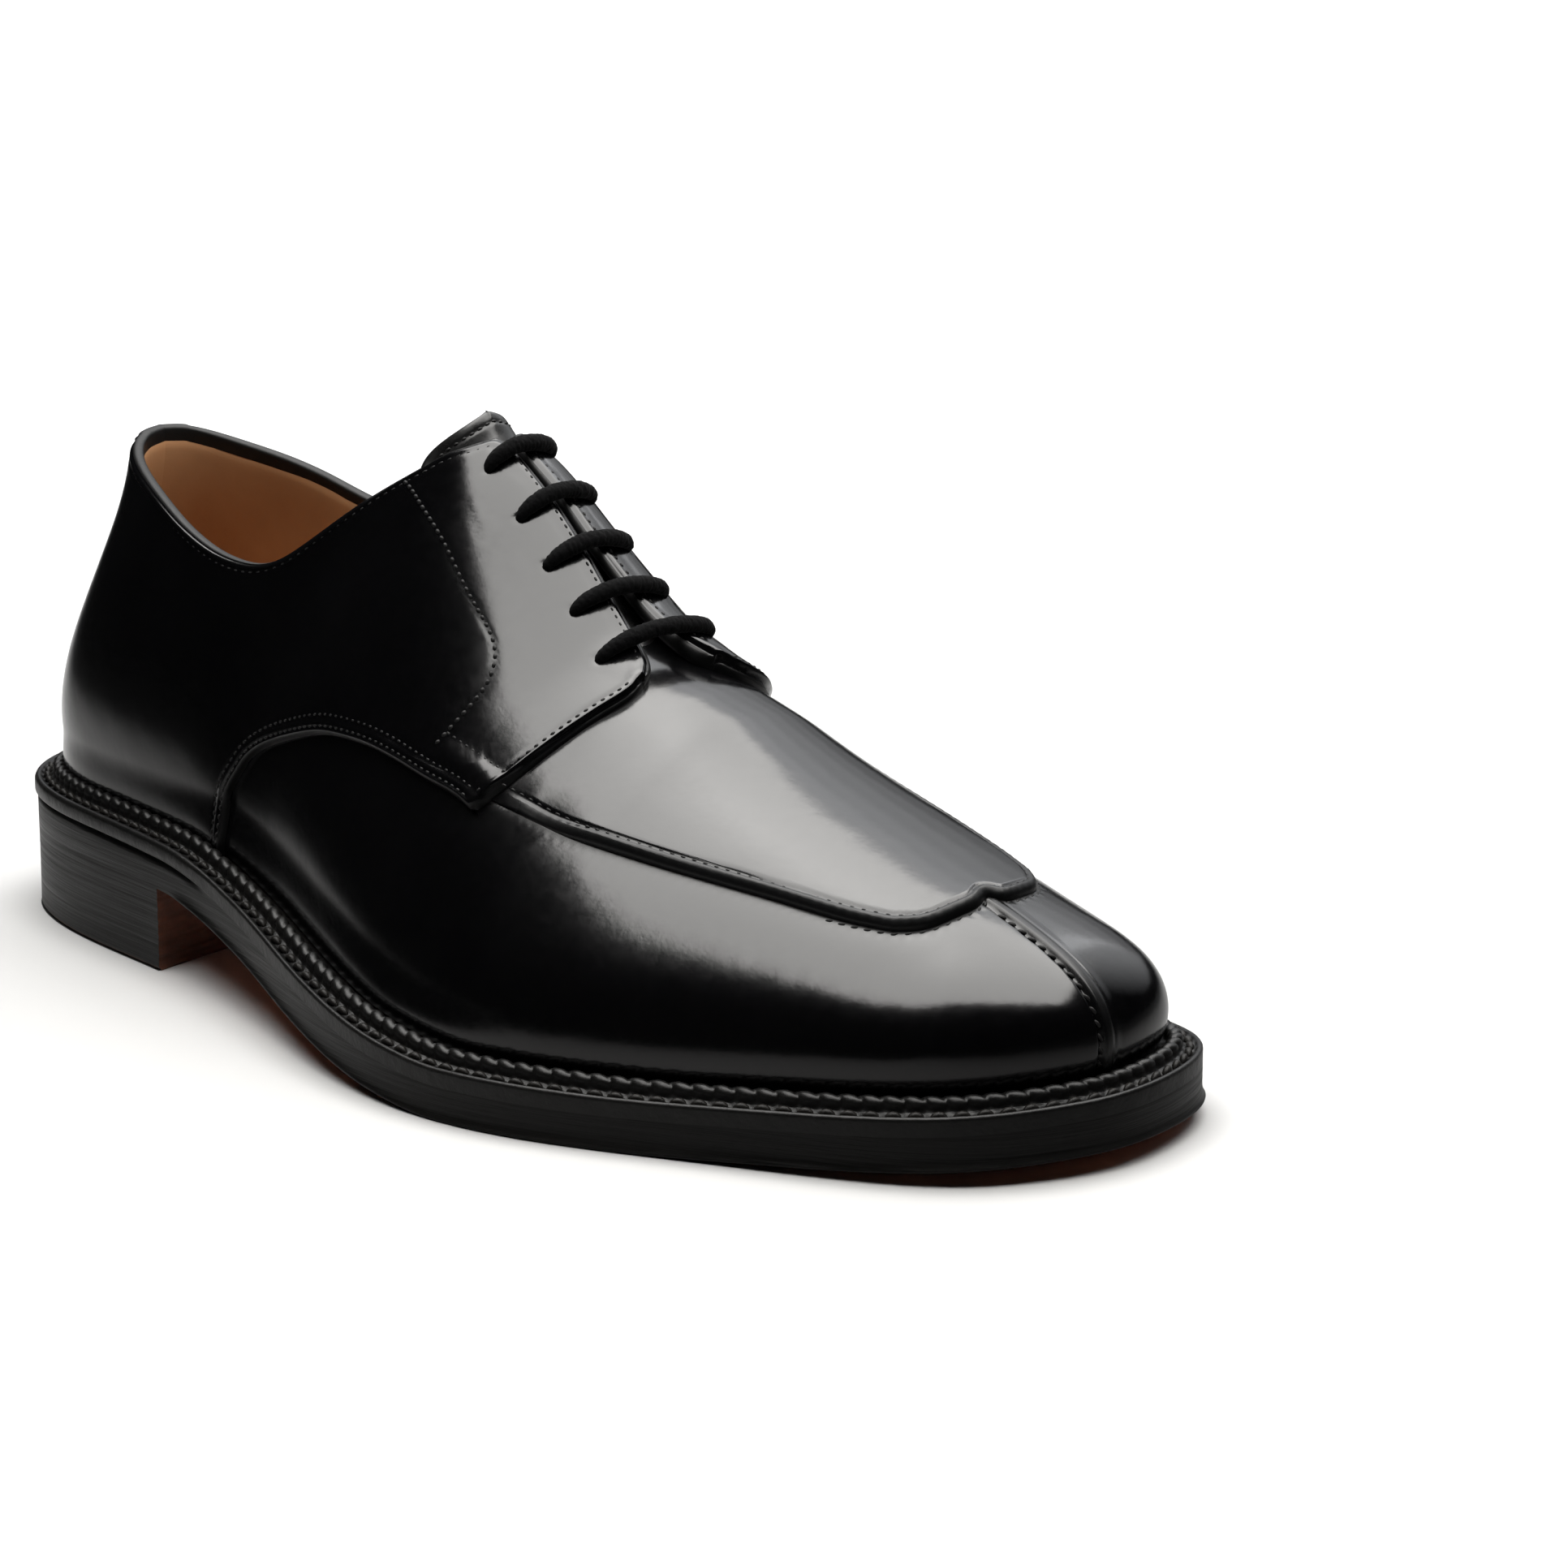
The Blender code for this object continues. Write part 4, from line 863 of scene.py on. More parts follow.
def build_quarter(name, side):
    """Quarter with its facing: rolled edges, stitch rows, eyelets and soft creases."""
    seam, front, collar, facing = quarter_lines(side)
    bottom = resample(np.array([(0.0, 0.0), tuple(seam[0])]), LINE_STEP)
    free_edge = np.vstack([seam[:-1], front])
    top = np.vstack([collar[:-1], facing])
    back = resample(np.array([bottom[0], top[0]]), LINE_STEP)
    flat = settle(bottom, free_edge, top, back, graded(215, EDGE_STEPS), graded(165, COLLAR_STEPS))
    p, n = on_form(side, flat)
    rein = smooth_line(pattern(FACING_STITCH_ROWS, side))
    tab = smooth_line(pattern(TAB_ROWS, side))
    lines = (free_edge, seam, front, top, facing, rein, tab)
    d_low, d_seam, d_front, d_top, d_facing, d_rein, d_tab = (distance(p, side, line) for line in lines)
    h = QUARTER_THICK + 0.08 * ripple(p, 32.0, 4) + 0.012 * ripple(p, 9.0, 5)
    for c in FACING_CREASES:
        ends = np.array([(c.from_place * LENGTH_SCALE, c.from_share * GIRTH_SCALE),
                         (c.to_place * LENGTH_SCALE, c.to_share * GIRTH_SCALE)])
        h -= c.depth * bump(reach(flat, resample(ends, 2.0))[0], c.width)
    d_back = np.hypot(p[..., 0] - p[:1, :, 0], p[..., 1] - p[:1, :, 1])
    h += BACK_STRIP_RISE * ease((BACK_STRIP - d_back) / 0.8)
    for row in SEAM_STITCHES:
        h -= 0.16 * bump(d_seam - row, GROOVE)
    h += 0.10 * bump(d_seam - np.mean(SEAM_STITCHES), 0.6)
    h -= 0.14 * bump(d_front - FRONT_STITCH, GROOVE) * (d_seam > 1.5)
    h -= 0.14 * bump(d_facing - FACING_STITCH, GROOVE)
    h -= 0.12 * bump(d_top - COLLAR_STITCH, GROOVE) * (d_facing > 3.5)
    h -= 0.07 * bump(d_rein, 0.45)
    h -= 0.13 * bump(d_tab, GROOVE)
    h += TAB_RIDGE * bump(d_seam - 6.4, 2.3) * ease((flat[..., 0] / LENGTH_SCALE - 0.478) / 0.012)
    for pair in EYELETS:
        row = pair[0] if side == LATERAL else pair[1]
        c, _ = vamp_form(side, row.place, side_value(row, side))
        h -= EYELET_DEPTH * bump(np.linalg.norm(p - c, axis=-1), EYELET_WIDTH)
    front_line = resample(on_form(side, front)[0], FORM_STEP)
    front_length = np.linalg.norm(np.diff(front_line, axis=0), axis=1).sum()

    def lifted(points):
        """How far the free front edge stands up, at points on the form."""
        away, run = reach(points, front_line)
        part = run / front_length
        up_there = FRONT_LIFT[side].seam * (1 - part) + FRONT_LIFT[side].throat * part
        return up_there * ease(1 - away / FRONT_LIFT[side].spread)
    h += lifted(p)
    roll = np.clip(d_low / EDGE_ROLL, 0, 1)
    layered = ease((d_seam - 1.0) / 3.0)
    step = 0.5 * quarter_round(d_low / 0.4) + 0.5 * quarter_round((d_low - 0.75) / 0.6)
    h = h * (quarter_round(roll) * (1 - layered) + step * layered) - 0.25 * (1 - roll)
    h *= 1 - 0.35 * bump(d_top, 0.5)
    inner = side == MEDIAL
    worn = ease(1.4 - d_low / 0.7)
    add_sheet(name, p + n * h[..., None], CALF, "upper_leather", (name,), flip=inner, wear=worn)

    edge = p[:, -1]
    edge_n = n[:, -1]
    up = unit(edge - p[:, -6])
    hi = h[:, -1]
    lo = np.minimum(-1.2, hi - 0.4)
    turn = np.linspace(np.pi / 2, -np.pi / 2, 10)[None, :, None]
    mid = ((hi + lo) / 2)[:, None, None]
    half = ((hi - lo) / 2)[:, None, None]
    rolled = (edge[:, None] + edge_n[:, None] * (mid + half * np.sin(turn))
              + up[:, None] * half * 0.7 * np.cos(turn))
    inside = np.stack([edge + edge_n * lo[:, None] - up * k for k in EDGE_TURN_IN], axis=1)
    rim = np.concatenate([rolled, inside], axis=1)
    add_sheet(name + "_edge", rim, EDGE_LEATHER, "upper_leather", flip=inner)

    def sew(flat_line, pitch=STITCH_PITCH, width=0.6, lift=QUARTER_THICK - 0.14):
        q, m = on_form(side, flat_line)
        q = q + m * (lift + lifted(q))[:, None]
        stitch_row(stitches, q, m, pitch, pitch * STITCH_SHARE, width, 0.0)
    for row in SEAM_STITCHES:
        sew(offset_line(seam, row)[2:-3])
    sew(offset_line(front, FRONT_STITCH)[3:-4])
    sew(offset_line(facing, -FACING_STITCH)[3:-6])
    sew(offset_line(collar, -COLLAR_STITCH)[8:-3], STITCH_PITCH * 1.1, 0.45, QUARTER_THICK - 0.26)
    sew(rein, STITCH_PITCH, 0.8, QUARTER_THICK - 0.02)
    sew(tab)
    strip = np.stack([np.full(60, BACK_STRIP - 1.0), np.linspace(3.0, 99.0, 60)], -1)
    sew(strip, STITCH_PITCH, 0.6, QUARTER_THICK + 0.6)


def vamp_top(side, place):
    """Where the visible vamp ends: under the quarter, then at the apron."""
    rows = [Line(0.285, 0.03, 0.03), Line(0.296, 0.16, 0.14)]
    rows += [Line(r.place, r.lateral + 0.06, r.medial + 0.06) for r in reversed(SEAM_ROWS[1:10])]
    rows.append(Line(0.536, 0.520, 0.540))
    rows += [Line(r.place, r.lateral + 0.09, r.medial + 0.09) for r in APRON_EDGE_ROWS]
    return np.minimum(line_share(rows, side, place), 1.0)


def build_vamp(tree):
    """Vamp walls, one net round the toe: puckered edge under the apron, and the raised toe seam."""
    rim = apron_rim()
    rim_plan = resample(rim, 1.0)
    rim_line = resample(on_front(tree, rim_plan, -apron_drop(rim_plan[:, 0]))[0], 1.0)
    places = spans((0.285, 0.84, 220), (0.84, 0.972, 80), (0.972, 1, 40))
    shares = spans((0, 0.7, 40), (0.7, 1, 56))
    grid_p = np.repeat(places[:, None], len(shares), 1)
    halves = []
    dulled = []
    for side in (LATERAL, MEDIAL):
        grid_s = vamp_top(side, places)[:, None] * shares[None]
        p, n = vamp_form(side, grid_p, grid_s)
        d, run = reach(p, rim_line)
        ahead = ease((p[..., 0] - APRON_ROWS[0].x) / 8.0)
        under = encloses(rim_line[:, :2], p[..., :2])
        h = 0.07 * ripple(p, 36.0, 8) + 0.01 * ripple(p, 9.0, 9)
        pucker = 0.04 * np.cos(2 * np.pi * run / 2.5) * bump(d - 1.0, 0.8)
        h += ahead * (pucker - ease((np.where(under, d, -d) - 0.3) / 2.0))
        seam = p[..., 1] - last(side, np.ones_like(grid_s), grid_s)[..., 1]
        near = ease((grid_p - 0.90) / 0.03) * ease(grid_s / 0.05) * (1 - under)
        pull = 1 + 0.3 * np.cos(2 * np.pi * p[..., 2] / TOE_PITCH)
        ridge = 0.5 * ease((seam + 1.6) / 0.9) * (1 - ease((seam + 0.5) / 4.5))
        h += near * (ridge - 0.38 * pull * bump(seam + 2.0, 0.5) - 0.13 * bump(seam - 1.4, 0.5))
        halves.append(p + n * h[..., None])
        dulled.append(np.maximum(ahead * bump(d, 1.0) * 0.5, near * bump(seam, 1.6) * 0.6))
    net, worn = (np.concatenate([a, b[::-1][1:]]) for a, b in (halves, dulled))
    add_sheet("vamp", net, CALF, "upper_leather", ("upper", "toe_seam"), wear=worn)
    q, m = vamp_form(LATERAL, np.ones(80), np.linspace(0.05, 0.90, 80))
    stitch_row(stitches, q + np.array([0.0, -1.9, 0.0]), m, TOE_PITCH, 2.0, 0.7, -0.25, 0.45)
    toe_rim = offset_plan(rim, -0.5)
    wall, lean = on_front(tree, toe_rim[toe_rim[:, 0] > 250.0], -APRON_DROP)
    stitch_row(stitches, wall, lean, TOE_PITCH, 1.9, 0.6, -0.08, 0.25)


def apron_drop(x):
    """How far the apron lies below the form: more at its back, to pass under the quarters."""
    return np.maximum(APRON_DROP, REAR_DROP * ease((206.0 - x) / 34.0))


def apron_lines():
    """Plan edges of the apron: outer side, front and inner side."""
    lateral = smooth_line([(r.x, r.lateral) for r in APRON_ROWS])
    medial = smooth_line([(r.x, r.medial) for r in APRON_ROWS])
    return lateral, smooth_line(APRON_FRONT, 0.5), medial


def apron_rim():
    """Plan outline of the apron, round its front from the outer side to the inner."""
    lateral, front, medial = apron_lines()
    return np.vstack([lateral[:-1], front[:-1], medial[::-1]])


def encloses(line, points):
    """Which plan points lie inside a closed line."""
    flat = points.reshape(-1, 2)
    inside = np.zeros(len(flat), bool)
    for a, b in zip(line, np.roll(line, -1, axis=0)):
        crosses = (a[1] > flat[:, 1]) != (b[1] > flat[:, 1])
        at = a[0] + (flat[:, 1] - a[1]) * (b[0] - a[0]) / (b[1] - a[1] if b[1] != a[1] else 1e-9)
        inside ^= crosses & (flat[:, 0] < at)
    return inside.reshape(points.shape[:-1])


def form_tree():
    """The front of the form as one surface to measure down onto."""
    verts = []
    faces = []
    places = np.linspace(0.40, 1.0, 181)
    shares = np.linspace(0.2, 1.0, 101)
    grid_p, grid_s = np.meshgrid(places, shares, indexing="ij")
    for side in (LATERAL, MEDIAL):
        faces += grid_faces(len(places), len(shares), len(verts))
        verts += [Vector(v) for v in last(side, grid_p, grid_s).reshape(-1, 3)]
    return BVHTree.FromPolygons(verts, faces)


def on_front(tree, plan, offset):
    """Plan points raised onto the front of the form and moved out along its normal."""
    down = Vector((0.0, 0.0, -1.0))

    def height(x, y):
        starts = (Vector((x, y + nudge, 300.0)) for nudge in (0.0, 0.1, -0.1, 0.4, -0.4))
        hits = (tree.ray_cast(start, down)[0] for start in starts)
        return next(hit.z for hit in hits if hit)
    e = 1.2
    flat = plan.reshape(-1, 2)
    z = np.array([height(x, y) for x, y in flat])
    dx = np.array([height(x + e, y) - height(x - e, y) for x, y in flat]) / (2 * e)
    dy = np.array([height(x, y + e) - height(x, y - e) for x, y in flat]) / (2 * e)
    n = unit(np.stack([-dx, -dy, np.ones(len(flat))], -1))
    p = np.c_[flat, z] + n * np.asarray(offset, float).reshape(-1, 1)
    return p.reshape(*plan.shape[:-1], 3), n.reshape(*plan.shape[:-1], 3)


def build_apron(tree):
    """Raised apron: rolled rim, stitched groove inside it, notch at the toe seam."""
    lateral, front, medial = apron_lines()
    back = resample(np.array([lateral[0], medial[0]]), LINE_STEP)
    u = np.union1d(graded(80, RIM_STEPS), RIM_STEPS)
    v = graded(130, RIM_STEPS * 0.65)
    plan = coons(back, medial, front, lateral, u, v)
    rim_line = apron_rim()
    d, run = reach(plan, resample(rim_line, LINE_STEP))
    x = plan[..., 0]
    body = 0.2 + RIM_RISE * ease((x - 184.0) / 20.0)
    rim = quarter_round(0.01 + d / RIM_WIDTH)
    grow = ease((x - 176.0) / 14.0)
    flat3 = raised(plan, np.zeros_like(x))
    h = body * (rim * grow + 1 - grow)
    h += grow * (0.12 * bump(d - 1.4, 0.6) - 0.32 * bump(d - RIM_GROOVE, 0.34) - 0.4 * ease(1 - d / 0.25))
    h -= APRON_DIP * ease((196.0 - x) / 26.0) * bump(plan[..., 1] - 4.4, 15.0)
    h += 0.08 * ripple(flat3, 38.0, 12) + 0.012 * ripple(flat3, 10.0, 13)
    h += grow * 0.06 * np.cos(2 * np.pi * run / 2.4) * bump(d - 1.2, 1.0)
    p, _ = on_front(tree, plan, h - apron_drop(x))
    worn = 0.75 * grow * ease((RIM_GROOVE + 0.5 - d) / 0.8)
    add_sheet("apron", p, CALF, "upper_leather", ("apron",), flip=True, wear=worn)
    inner = offset_plan(rim_line, RIM_GROOVE)
    q, m = on_front(tree, inner[12:-12], RIM_RISE - APRON_DROP)
    stitch_row(stitches, q, m, 2.4, 1.2, 0.4, -0.16)


def tongue_point(q, s, offset):
    """Tongue surface: q from -1 to 1 across, s from 0 at its top to 1 at its foot under the vamp."""
    top = TONGUE_TOP - TONGUE_SHOULDER * np.abs(q) ** 2.6 + TONGUE_ROUND * np.abs(q) ** 8
    place = top + (TONGUE_FOOT - top) * s
    sweep = TONGUE_HALF * q * (1 - 0.12 * s)
    lift = TONGUE_NEAR * ease((top + 0.045 - place) / 0.03)
    lift = lift + TONGUE_CURL * ease((top + 0.022 - place) / 0.026)
    return across(place, sweep, -TONGUE_DEPTH - TONGUE_THICK / 2 + lift + offset)


def build_tongue():
    """Tongue: a soft padded strip that stands up free of the facings, stitched round its top."""
    q = np.sin(np.linspace(-np.pi / 2, np.pi / 2, 71))[None]
    s = spans((0, 0.2, 50), (0.2, 1, 60))[:, None]
    q, s = np.broadcast_arrays(q, s)
    mid = tongue_point(q, s, np.zeros(q.shape))
    rim = np.vstack([mid[::-1, 0], mid[0, 1:], mid[1:, -1]])
    d, _ = reach(mid, resample(rim, 1.0))
    full = quarter_round(d / 1.2)
    h = full * TONGUE_THICK / 2 + 0.08 * ripple(mid, 18.0, 21) * full
    heap = Heap()
    heap.grid(tongue_point(q, s, h - 0.16 * bump(d - 2.8, 0.4)), flip=True)
    heap.grid(tongue_point(q, s, -h))
    heap.add("tongue", TONGUE_LEATHER, "tongue_leather", ("tongue",))
    turn = np.linspace(-1, 1, 160)
    side_q = np.clip(turn * 1.5, -0.9, 0.9)
    side_s = 0.034 + 0.3 * np.maximum(np.abs(turn) - 0.6, 0)
    line, above = (tongue_point(side_q, side_s, np.full(160, TONGUE_THICK / 2 + k)) for k in (0.0, 1.0))
    stitch_row(stitches, line, above - line, STITCH_PITCH, STITCH_PITCH * STITCH_SHARE, 0.6, -0.1)


def ruled_floor(places_left, places_right, inset, cols):
    """Plan grid between the two sides of the outline."""
    s = np.linspace(0, 1, cols)
    left = ring(places_left, inset)[0]
    right = ring(places_right, inset)[0]
    return left[:, None] * (1 - s)[None, :, None] + right[:, None] * s[None, :, None]


def build_lining():
    """Tan lining of the quarters and vamp, and the sock over the insole."""
    heap = Heap()
    places = spans((0, THROAT_END, 130), (THROAT_END, 1, 60))
    shares = np.linspace(0, 1, 56)
    for side in (LATERAL, MEDIAL):
        top = np.where(places <= COLLAR_ROWS[-1].place, line_share(COLLAR_ROWS, side, places) - 0.016,
                       line_share(THROAT_ROWS, side, places) - 0.05)
        top = np.where(places >= THROAT_END, 1.0, top)
        p, n = vamp_form(side, np.repeat(places[:, None], len(shares), 1), top[:, None] * shares[None])
        h = -LINING_DEPTH - 3.0 * ease((places[:, None] - 0.50) / 0.04) + 0.12 * ripple(p, 26.0, 31)
        h += 0.6 * ease((shares[None] - 0.975) / 0.025)
        heap.grid(p + n * h[..., None], flip=side == LATERAL)
    heap.add("lining", LINING, "lining_leather")
    a = np.linspace(0.004, 0.996, 160)
    s = np.linspace(0, 1, 50)
    plan = ruled_floor(a, 2 - a, SOCK_INSET, len(s))
    z = tread(plan[..., 0]) + SOLE_TOP + INSOLE_RISE + 2.0 * (2 * s[None] - 1) ** 6
    add_sheet("sock", raised(plan, z), LINING, "lining_leather", ("insole",))


def swept(place, columns):
    """Net of a cross section carried round the sole: each column is (inset, height over the tread)."""
    net = []
    for inset, height in columns:
        p, _ = ring(place, inset)
        net.append(raised(p, tread(p[:, 0]) + height))
    return np.stack(net, axis=1)


# Cross section of the welt up to its bead: inset, height over the tread, step inward over the heel, mm
WELT_CROSS = [
    (0.0, WELT_BASE, 0.9), (0.0, 6.82, 0.1), (0.0, 7.0, -0.3), (0.0, 7.3, -0.45), (0.0, 8.4, -0.45),
    (-0.04, 9.5, -0.35), (0.0, 9.95, -0.2), (0.2, 10.25, -0.1), (0.5, 10.42, 0.0), (0.85, 10.40, 0.0),
    (1.1, 10.15, 0.0), (1.45, 9.95, 0.0), (1.9, 9.85, 0.0), (2.4, 9.82, 0.0), (2.9, 9.9, 0.0),
    (3.3, 10.1, 0.0), (3.62, 10.3, 0.0), (3.85, 10.35, 0.0),
]
# Cross section of the outsole's edge: inset, height over the tread, lip in front, groove over the heel, mm
OUTSOLE_CROSS = [
    (0.0, WELT_BASE, 0.0, 0.9), (0.0, 6.5, 0.0, 0.8), (0.0, 6.1, 0.0, 0.5), (0.0, 5.7, 0.0, 0.15),
    (0.03, 5.0, 0.0, 0.0), (0.06, 3.6, 0.0, 0.0), (0.0, 2.2, 0.05, 0.0), (0.0, 1.2, -0.15, 0.0),
    (0.0, 0.7, -0.42, 0.0), (0.0, 0.42, -0.58, 0.0), (0.0, 0.14, -0.5, 0.0), (0.0, 0.0, -0.2, 0.0),
    (0.4, -0.02, 0.0, 0.0), (1.6, 0.0, 0.0, 0.0),
]


def build_welt():
    """Storm welt: waxed edge, stitched ledge and a notched bead against the upper."""
    total = OUT_RUN[-1]
    count = int(total / 0.36)
    run = np.linspace(0, total, count, endpoint=False)
    place = np.interp(run, OUT_RUN, OUT_PLACE)
    teeth = round(total / WELT_PITCH)
    phase = run / total * teeth
    proud = ease((98.0 - ring(place)[0][:, 0]) / 14.0)
    columns = []
    for inset, height, step in WELT_CROSS:
        tooth = bump((phase + 0.12 * inset) % 1.0 - 0.5, 0.22)
        mark = 0.5 * tooth * ease((inset - 1.0) / 0.5) * ease((3.8 - inset) / 0.5)
        columns.append((inset + step * proud, height - mark))
    for turn in np.radians(np.linspace(-98, 105, 12)):
        knob = np.abs(np.sin(np.pi * (phase + 0.26 * np.sin(turn)))) ** 0.5
        r = BEAD_RADIUS * (0.48 + 0.52 * knob)
        columns.append((BEAD_INSET + r * np.sin(turn), SOLE_TOP + BEAD_RISE + r * np.cos(turn) * 0.95 - 0.15))
    columns += [(6.9, 10.5), (9.6, 10.6)]
    add_sheet("welt", swept(place, columns), WELT_LEATHER, "welt_leather", ("welt",), wrap=True)
    sewn = Heap()
    line = swept(place, [(2.45, 9.95)])[:, 0]
    up = np.tile([0.0, 0.0, 1.0], (count, 1))
    stitch_row(sewn, line, up, total / teeth, 3.4, 1.5, 0.2, 0.16)
    sewn.add("welt_stitching", WELT_THREAD, "welt_leather")


def build_outsole():
    """Outsole: waxed edge with its lips, and the stained underside."""
    run = np.linspace(0, OUT_RUN[-1], 720, endpoint=False)
    place = np.interp(run, OUT_RUN, OUT_PLACE)
    x = ring(place)[0][:, 0]
    free = ease((x - 76.0) / 10.0)
    rear = ease((98.0 - x) / 16.0)
    columns = [(inset + lip * free + groove * rear, height) for inset, height, lip, groove in OUTSOLE_CROSS]
    add_sheet("outsole_edge", swept(place, columns), EDGE, "sole_leather", ("outsole",), wrap=True, flip=True)
    a = np.linspace(0.0015, 0.9985, 240)
    plan = ruled_floor(a, 2 - a, 1.2, 40)
    under = raised(plan, tread(plan[..., 0]) + 0.02)
    add_sheet("outsole_underside", under, SOLE_LEATHER, "sole_leather", flip=True)


def breast_places():
    """Where the heel's front meets the outline on each side."""
    sides = (np.linspace(0, 0.5, 400), np.linspace(2.0, 1.5, 400))
    return [np.interp(HEEL_BREAST_X, ring(side)[0][:, 0], side) for side in sides]


def build_heel():
    """Stacked heel: waxed sides with the lines of its lifts, bare breast, top piece."""
    lateral, medial = breast_places()
    places = np.r_[np.linspace(medial, 2.0, 130), np.linspace(0, lateral, 130)[1:]]
    shares = np.linspace(0, 1, 70)
    top = tread(ring(places)[0][:, 0]) + 0.4
    rows = []
    for s in shares:
        lift = sum(depth * bump((s - line) * HEEL_HEIGHT, 0.22) for line, depth in HEEL_LINES)
        flare = 0.02 + 0.45 * (1 - s) ** 1.5
        corner = 0.5 * bump(s * HEEL_HEIGHT, 0.5)
        rows.append(raised(ring(places, lift - flare + corner)[0], top * s))
    sides = np.stack(rows, axis=1)
    split = int(np.searchsorted(shares, HEEL_LINES[0][0]))
    add_sheet("heel_stack", sides[:, split:], EDGE, "heel_leather", ("heel_stack",))
    add_sheet("heel_top_piece_side", sides[:, 3:split + 1], EDGE, "heel_rubber")
    add_sheet("heel_worn_edge", sides[:, :4], WORN_EDGE, "heel_rubber")
    a = np.linspace(0.002, 1.0, 90)
    plan = ruled_floor(lateral * a, 2.0 - (2.0 - medial) * a, -0.6, 40)
    s = np.linspace(0, 1, 40)
    plan[..., 0] -= BREAST_HOLLOW * 4 * (s * (1 - s))[None] * (a ** 6)[:, None]
    base = raised(plan, np.full(plan.shape[:-1], 0.02))
    add_sheet("heel_top_piece", base, RUBBER, "heel_rubber", ("heel_top_piece",), flip=True)
    breast = []
    for s in np.linspace(0, 1, 60):
        p = sides[-1] * (1 - s) + sides[0] * s
        p[:, 0] -= BREAST_HOLLOW * 4 * s * (1 - s)
        layer = 0.14 * np.sin(p[:, 2] * 1.9 + 0.4) + 0.1 * np.sin(p[:, 2] * 4.3)
        p[:, 0] += layer + 0.08 * ripple(p, 3.0, 41)
        breast.append(p)
    add_sheet("heel_breast", np.stack(breast), BREAST_LEATHER, "sole_leather")


def build_laces():
    """Five straight bars of round cord, out of one eyelet and into the other."""
    heap = Heap()
    lift = QUARTER_THICK + LACE_RADIUS * 0.86
    start = np.array([0.06, 0.025, 0.015, 0.055, 0.14])
    w = np.r_[start, np.linspace(0.24, 0.76, 7), 1 - start[::-1]]
    sunk = np.array([-1.8, 0.2, QUARTER_THICK - 0.2, lift - 0.75, lift - 0.15])
    ends = np.array([0.8, 0.95, LACE_NECK, 1.3, 1.55])
    girth = np.r_[ends, np.full(7, LACE_RADIUS), ends[::-1]]
    turn = np.linspace(0, 2 * np.pi, 37)
    for k, (left, right) in enumerate(EYELETS):
        depth = np.r_[sunk, lift + 0.25 * np.sin(np.linspace(0.2, np.pi - 0.2, 7)), sunk[::-1]]
        if k == len(EYELETS) - 1:
            depth = depth + LAST_BAR_LIFT[0] * (1 - w) + LAST_BAR_LIFT[1] * w
        place = left.place + (right.place - left.place) * w
        reach_l = 1 - left.lateral
        sweep = -reach_l + ((1 - right.medial) + reach_l) * w
        path = across(place, sweep, depth)
        knots = run_along(path, 0.6)
        at = np.linspace(0, knots[-1], 150)
        spine = spline(knots, path, at)
        t = unit(np.gradient(spine, axis=0))
        b = unit(np.cross(t, LACE_SIDE))
        c = np.cross(t, b)
        twist = run_along(spine)[:, None] * 3.2
        weave = 0.05 * np.sin(8 * turn[None] + twist) * np.sin(8 * turn[None] - twist)
        out = np.cos(turn)[None, :, None] * b[:, None] + np.sin(turn)[None, :, None] * c[:, None]
        r = (np.interp(at, knots, girth) + 0.06 * ripple(spine, 7.0, 50 + k))[:, None] + weave
        skin = spine[:, None] + out * r[..., None]
        nap = 0.07 * ripple(skin, 1.5, 60 + k) + 0.05 * ripple(skin, 0.9, 70 + k)
        heap.grid(skin + out * (nap * np.minimum(r, 1.0))[..., None])
    heap.add("laces", CORD, "lace_cord", tuple("lace_bar_%d" % (k + 1) for k in range(len(EYELETS))))


# Stage
def level_axes(ahead):
    """Right and up of a level camera that looks ahead."""
    right = unit(np.cross(ahead, (0.0, 0.0, 1.0)))
    return right, np.cross(right, ahead)


def add_camera():
    """Camera at the photograph's place, angle and lens."""
    az, el, roll, pan, tilt = np.radians([VIEW_AZIMUTH, VIEW_ELEVATION, VIEW_ROLL, VIEW_PAN, VIEW_TILT])
    back = np.array([np.cos(el) * np.sin(az), -np.cos(el) * np.cos(az), np.sin(el)])
    right, above = level_axes(-back)
    ahead = unit(-back + np.tan(pan) * right + np.tan(tilt) * above)
    right, above = level_axes(ahead)
    x = np.cos(roll) * right + np.sin(roll) * above
    y = -np.sin(roll) * right + np.cos(roll) * above
    data = bpy.data.cameras.new("camera")
    data.sensor_width = SENSOR_WIDTH
    data.lens = VIEW_FOCAL / FRAME_PIXELS * SENSOR_WIDTH
    data.clip_start = 0.01
    cam = show("camera", data)
    turn = np.eye(4)
    turn[:3] = np.stack([x, y, -ahead, to_scene(np.array(VIEW_TARGET) + back * VIEW_DISTANCE)[0]], -1)
    cam.matrix_world = Matrix(turn.tolist())
    bpy.context.scene.camera = cam


def add_area(name, place, aim, width, depth, radiance):
    """Soft box that looks at a point, its width level, as bright as its radiance says."""
    data = bpy.data.lights.new(name, "AREA")
    data.shape = "RECTANGLE"
    data.size = width
    data.size_y = depth
    data.energy = radiance * np.pi * width * depth
    data.color = BACKDROP_TINT
    back = (Vector(place) - Vector(aim)).normalized()
    above = back.cross(Vector(studio(1.0, 0.0, 0.0))).normalized()
    turn = Matrix((above.cross(back), above, back)).transposed().to_4x4()
    show(name, data).matrix_world = Matrix.Translation(place) @ turn


def studio(right, behind, height):
    """Place in metres from the shoe's middle, to the right of and behind it as the camera sees it."""
    az = np.radians(VIEW_AZIMUTH)
    return (right * np.cos(az) - behind * np.sin(az), right * np.sin(az) + behind * np.cos(az), height)


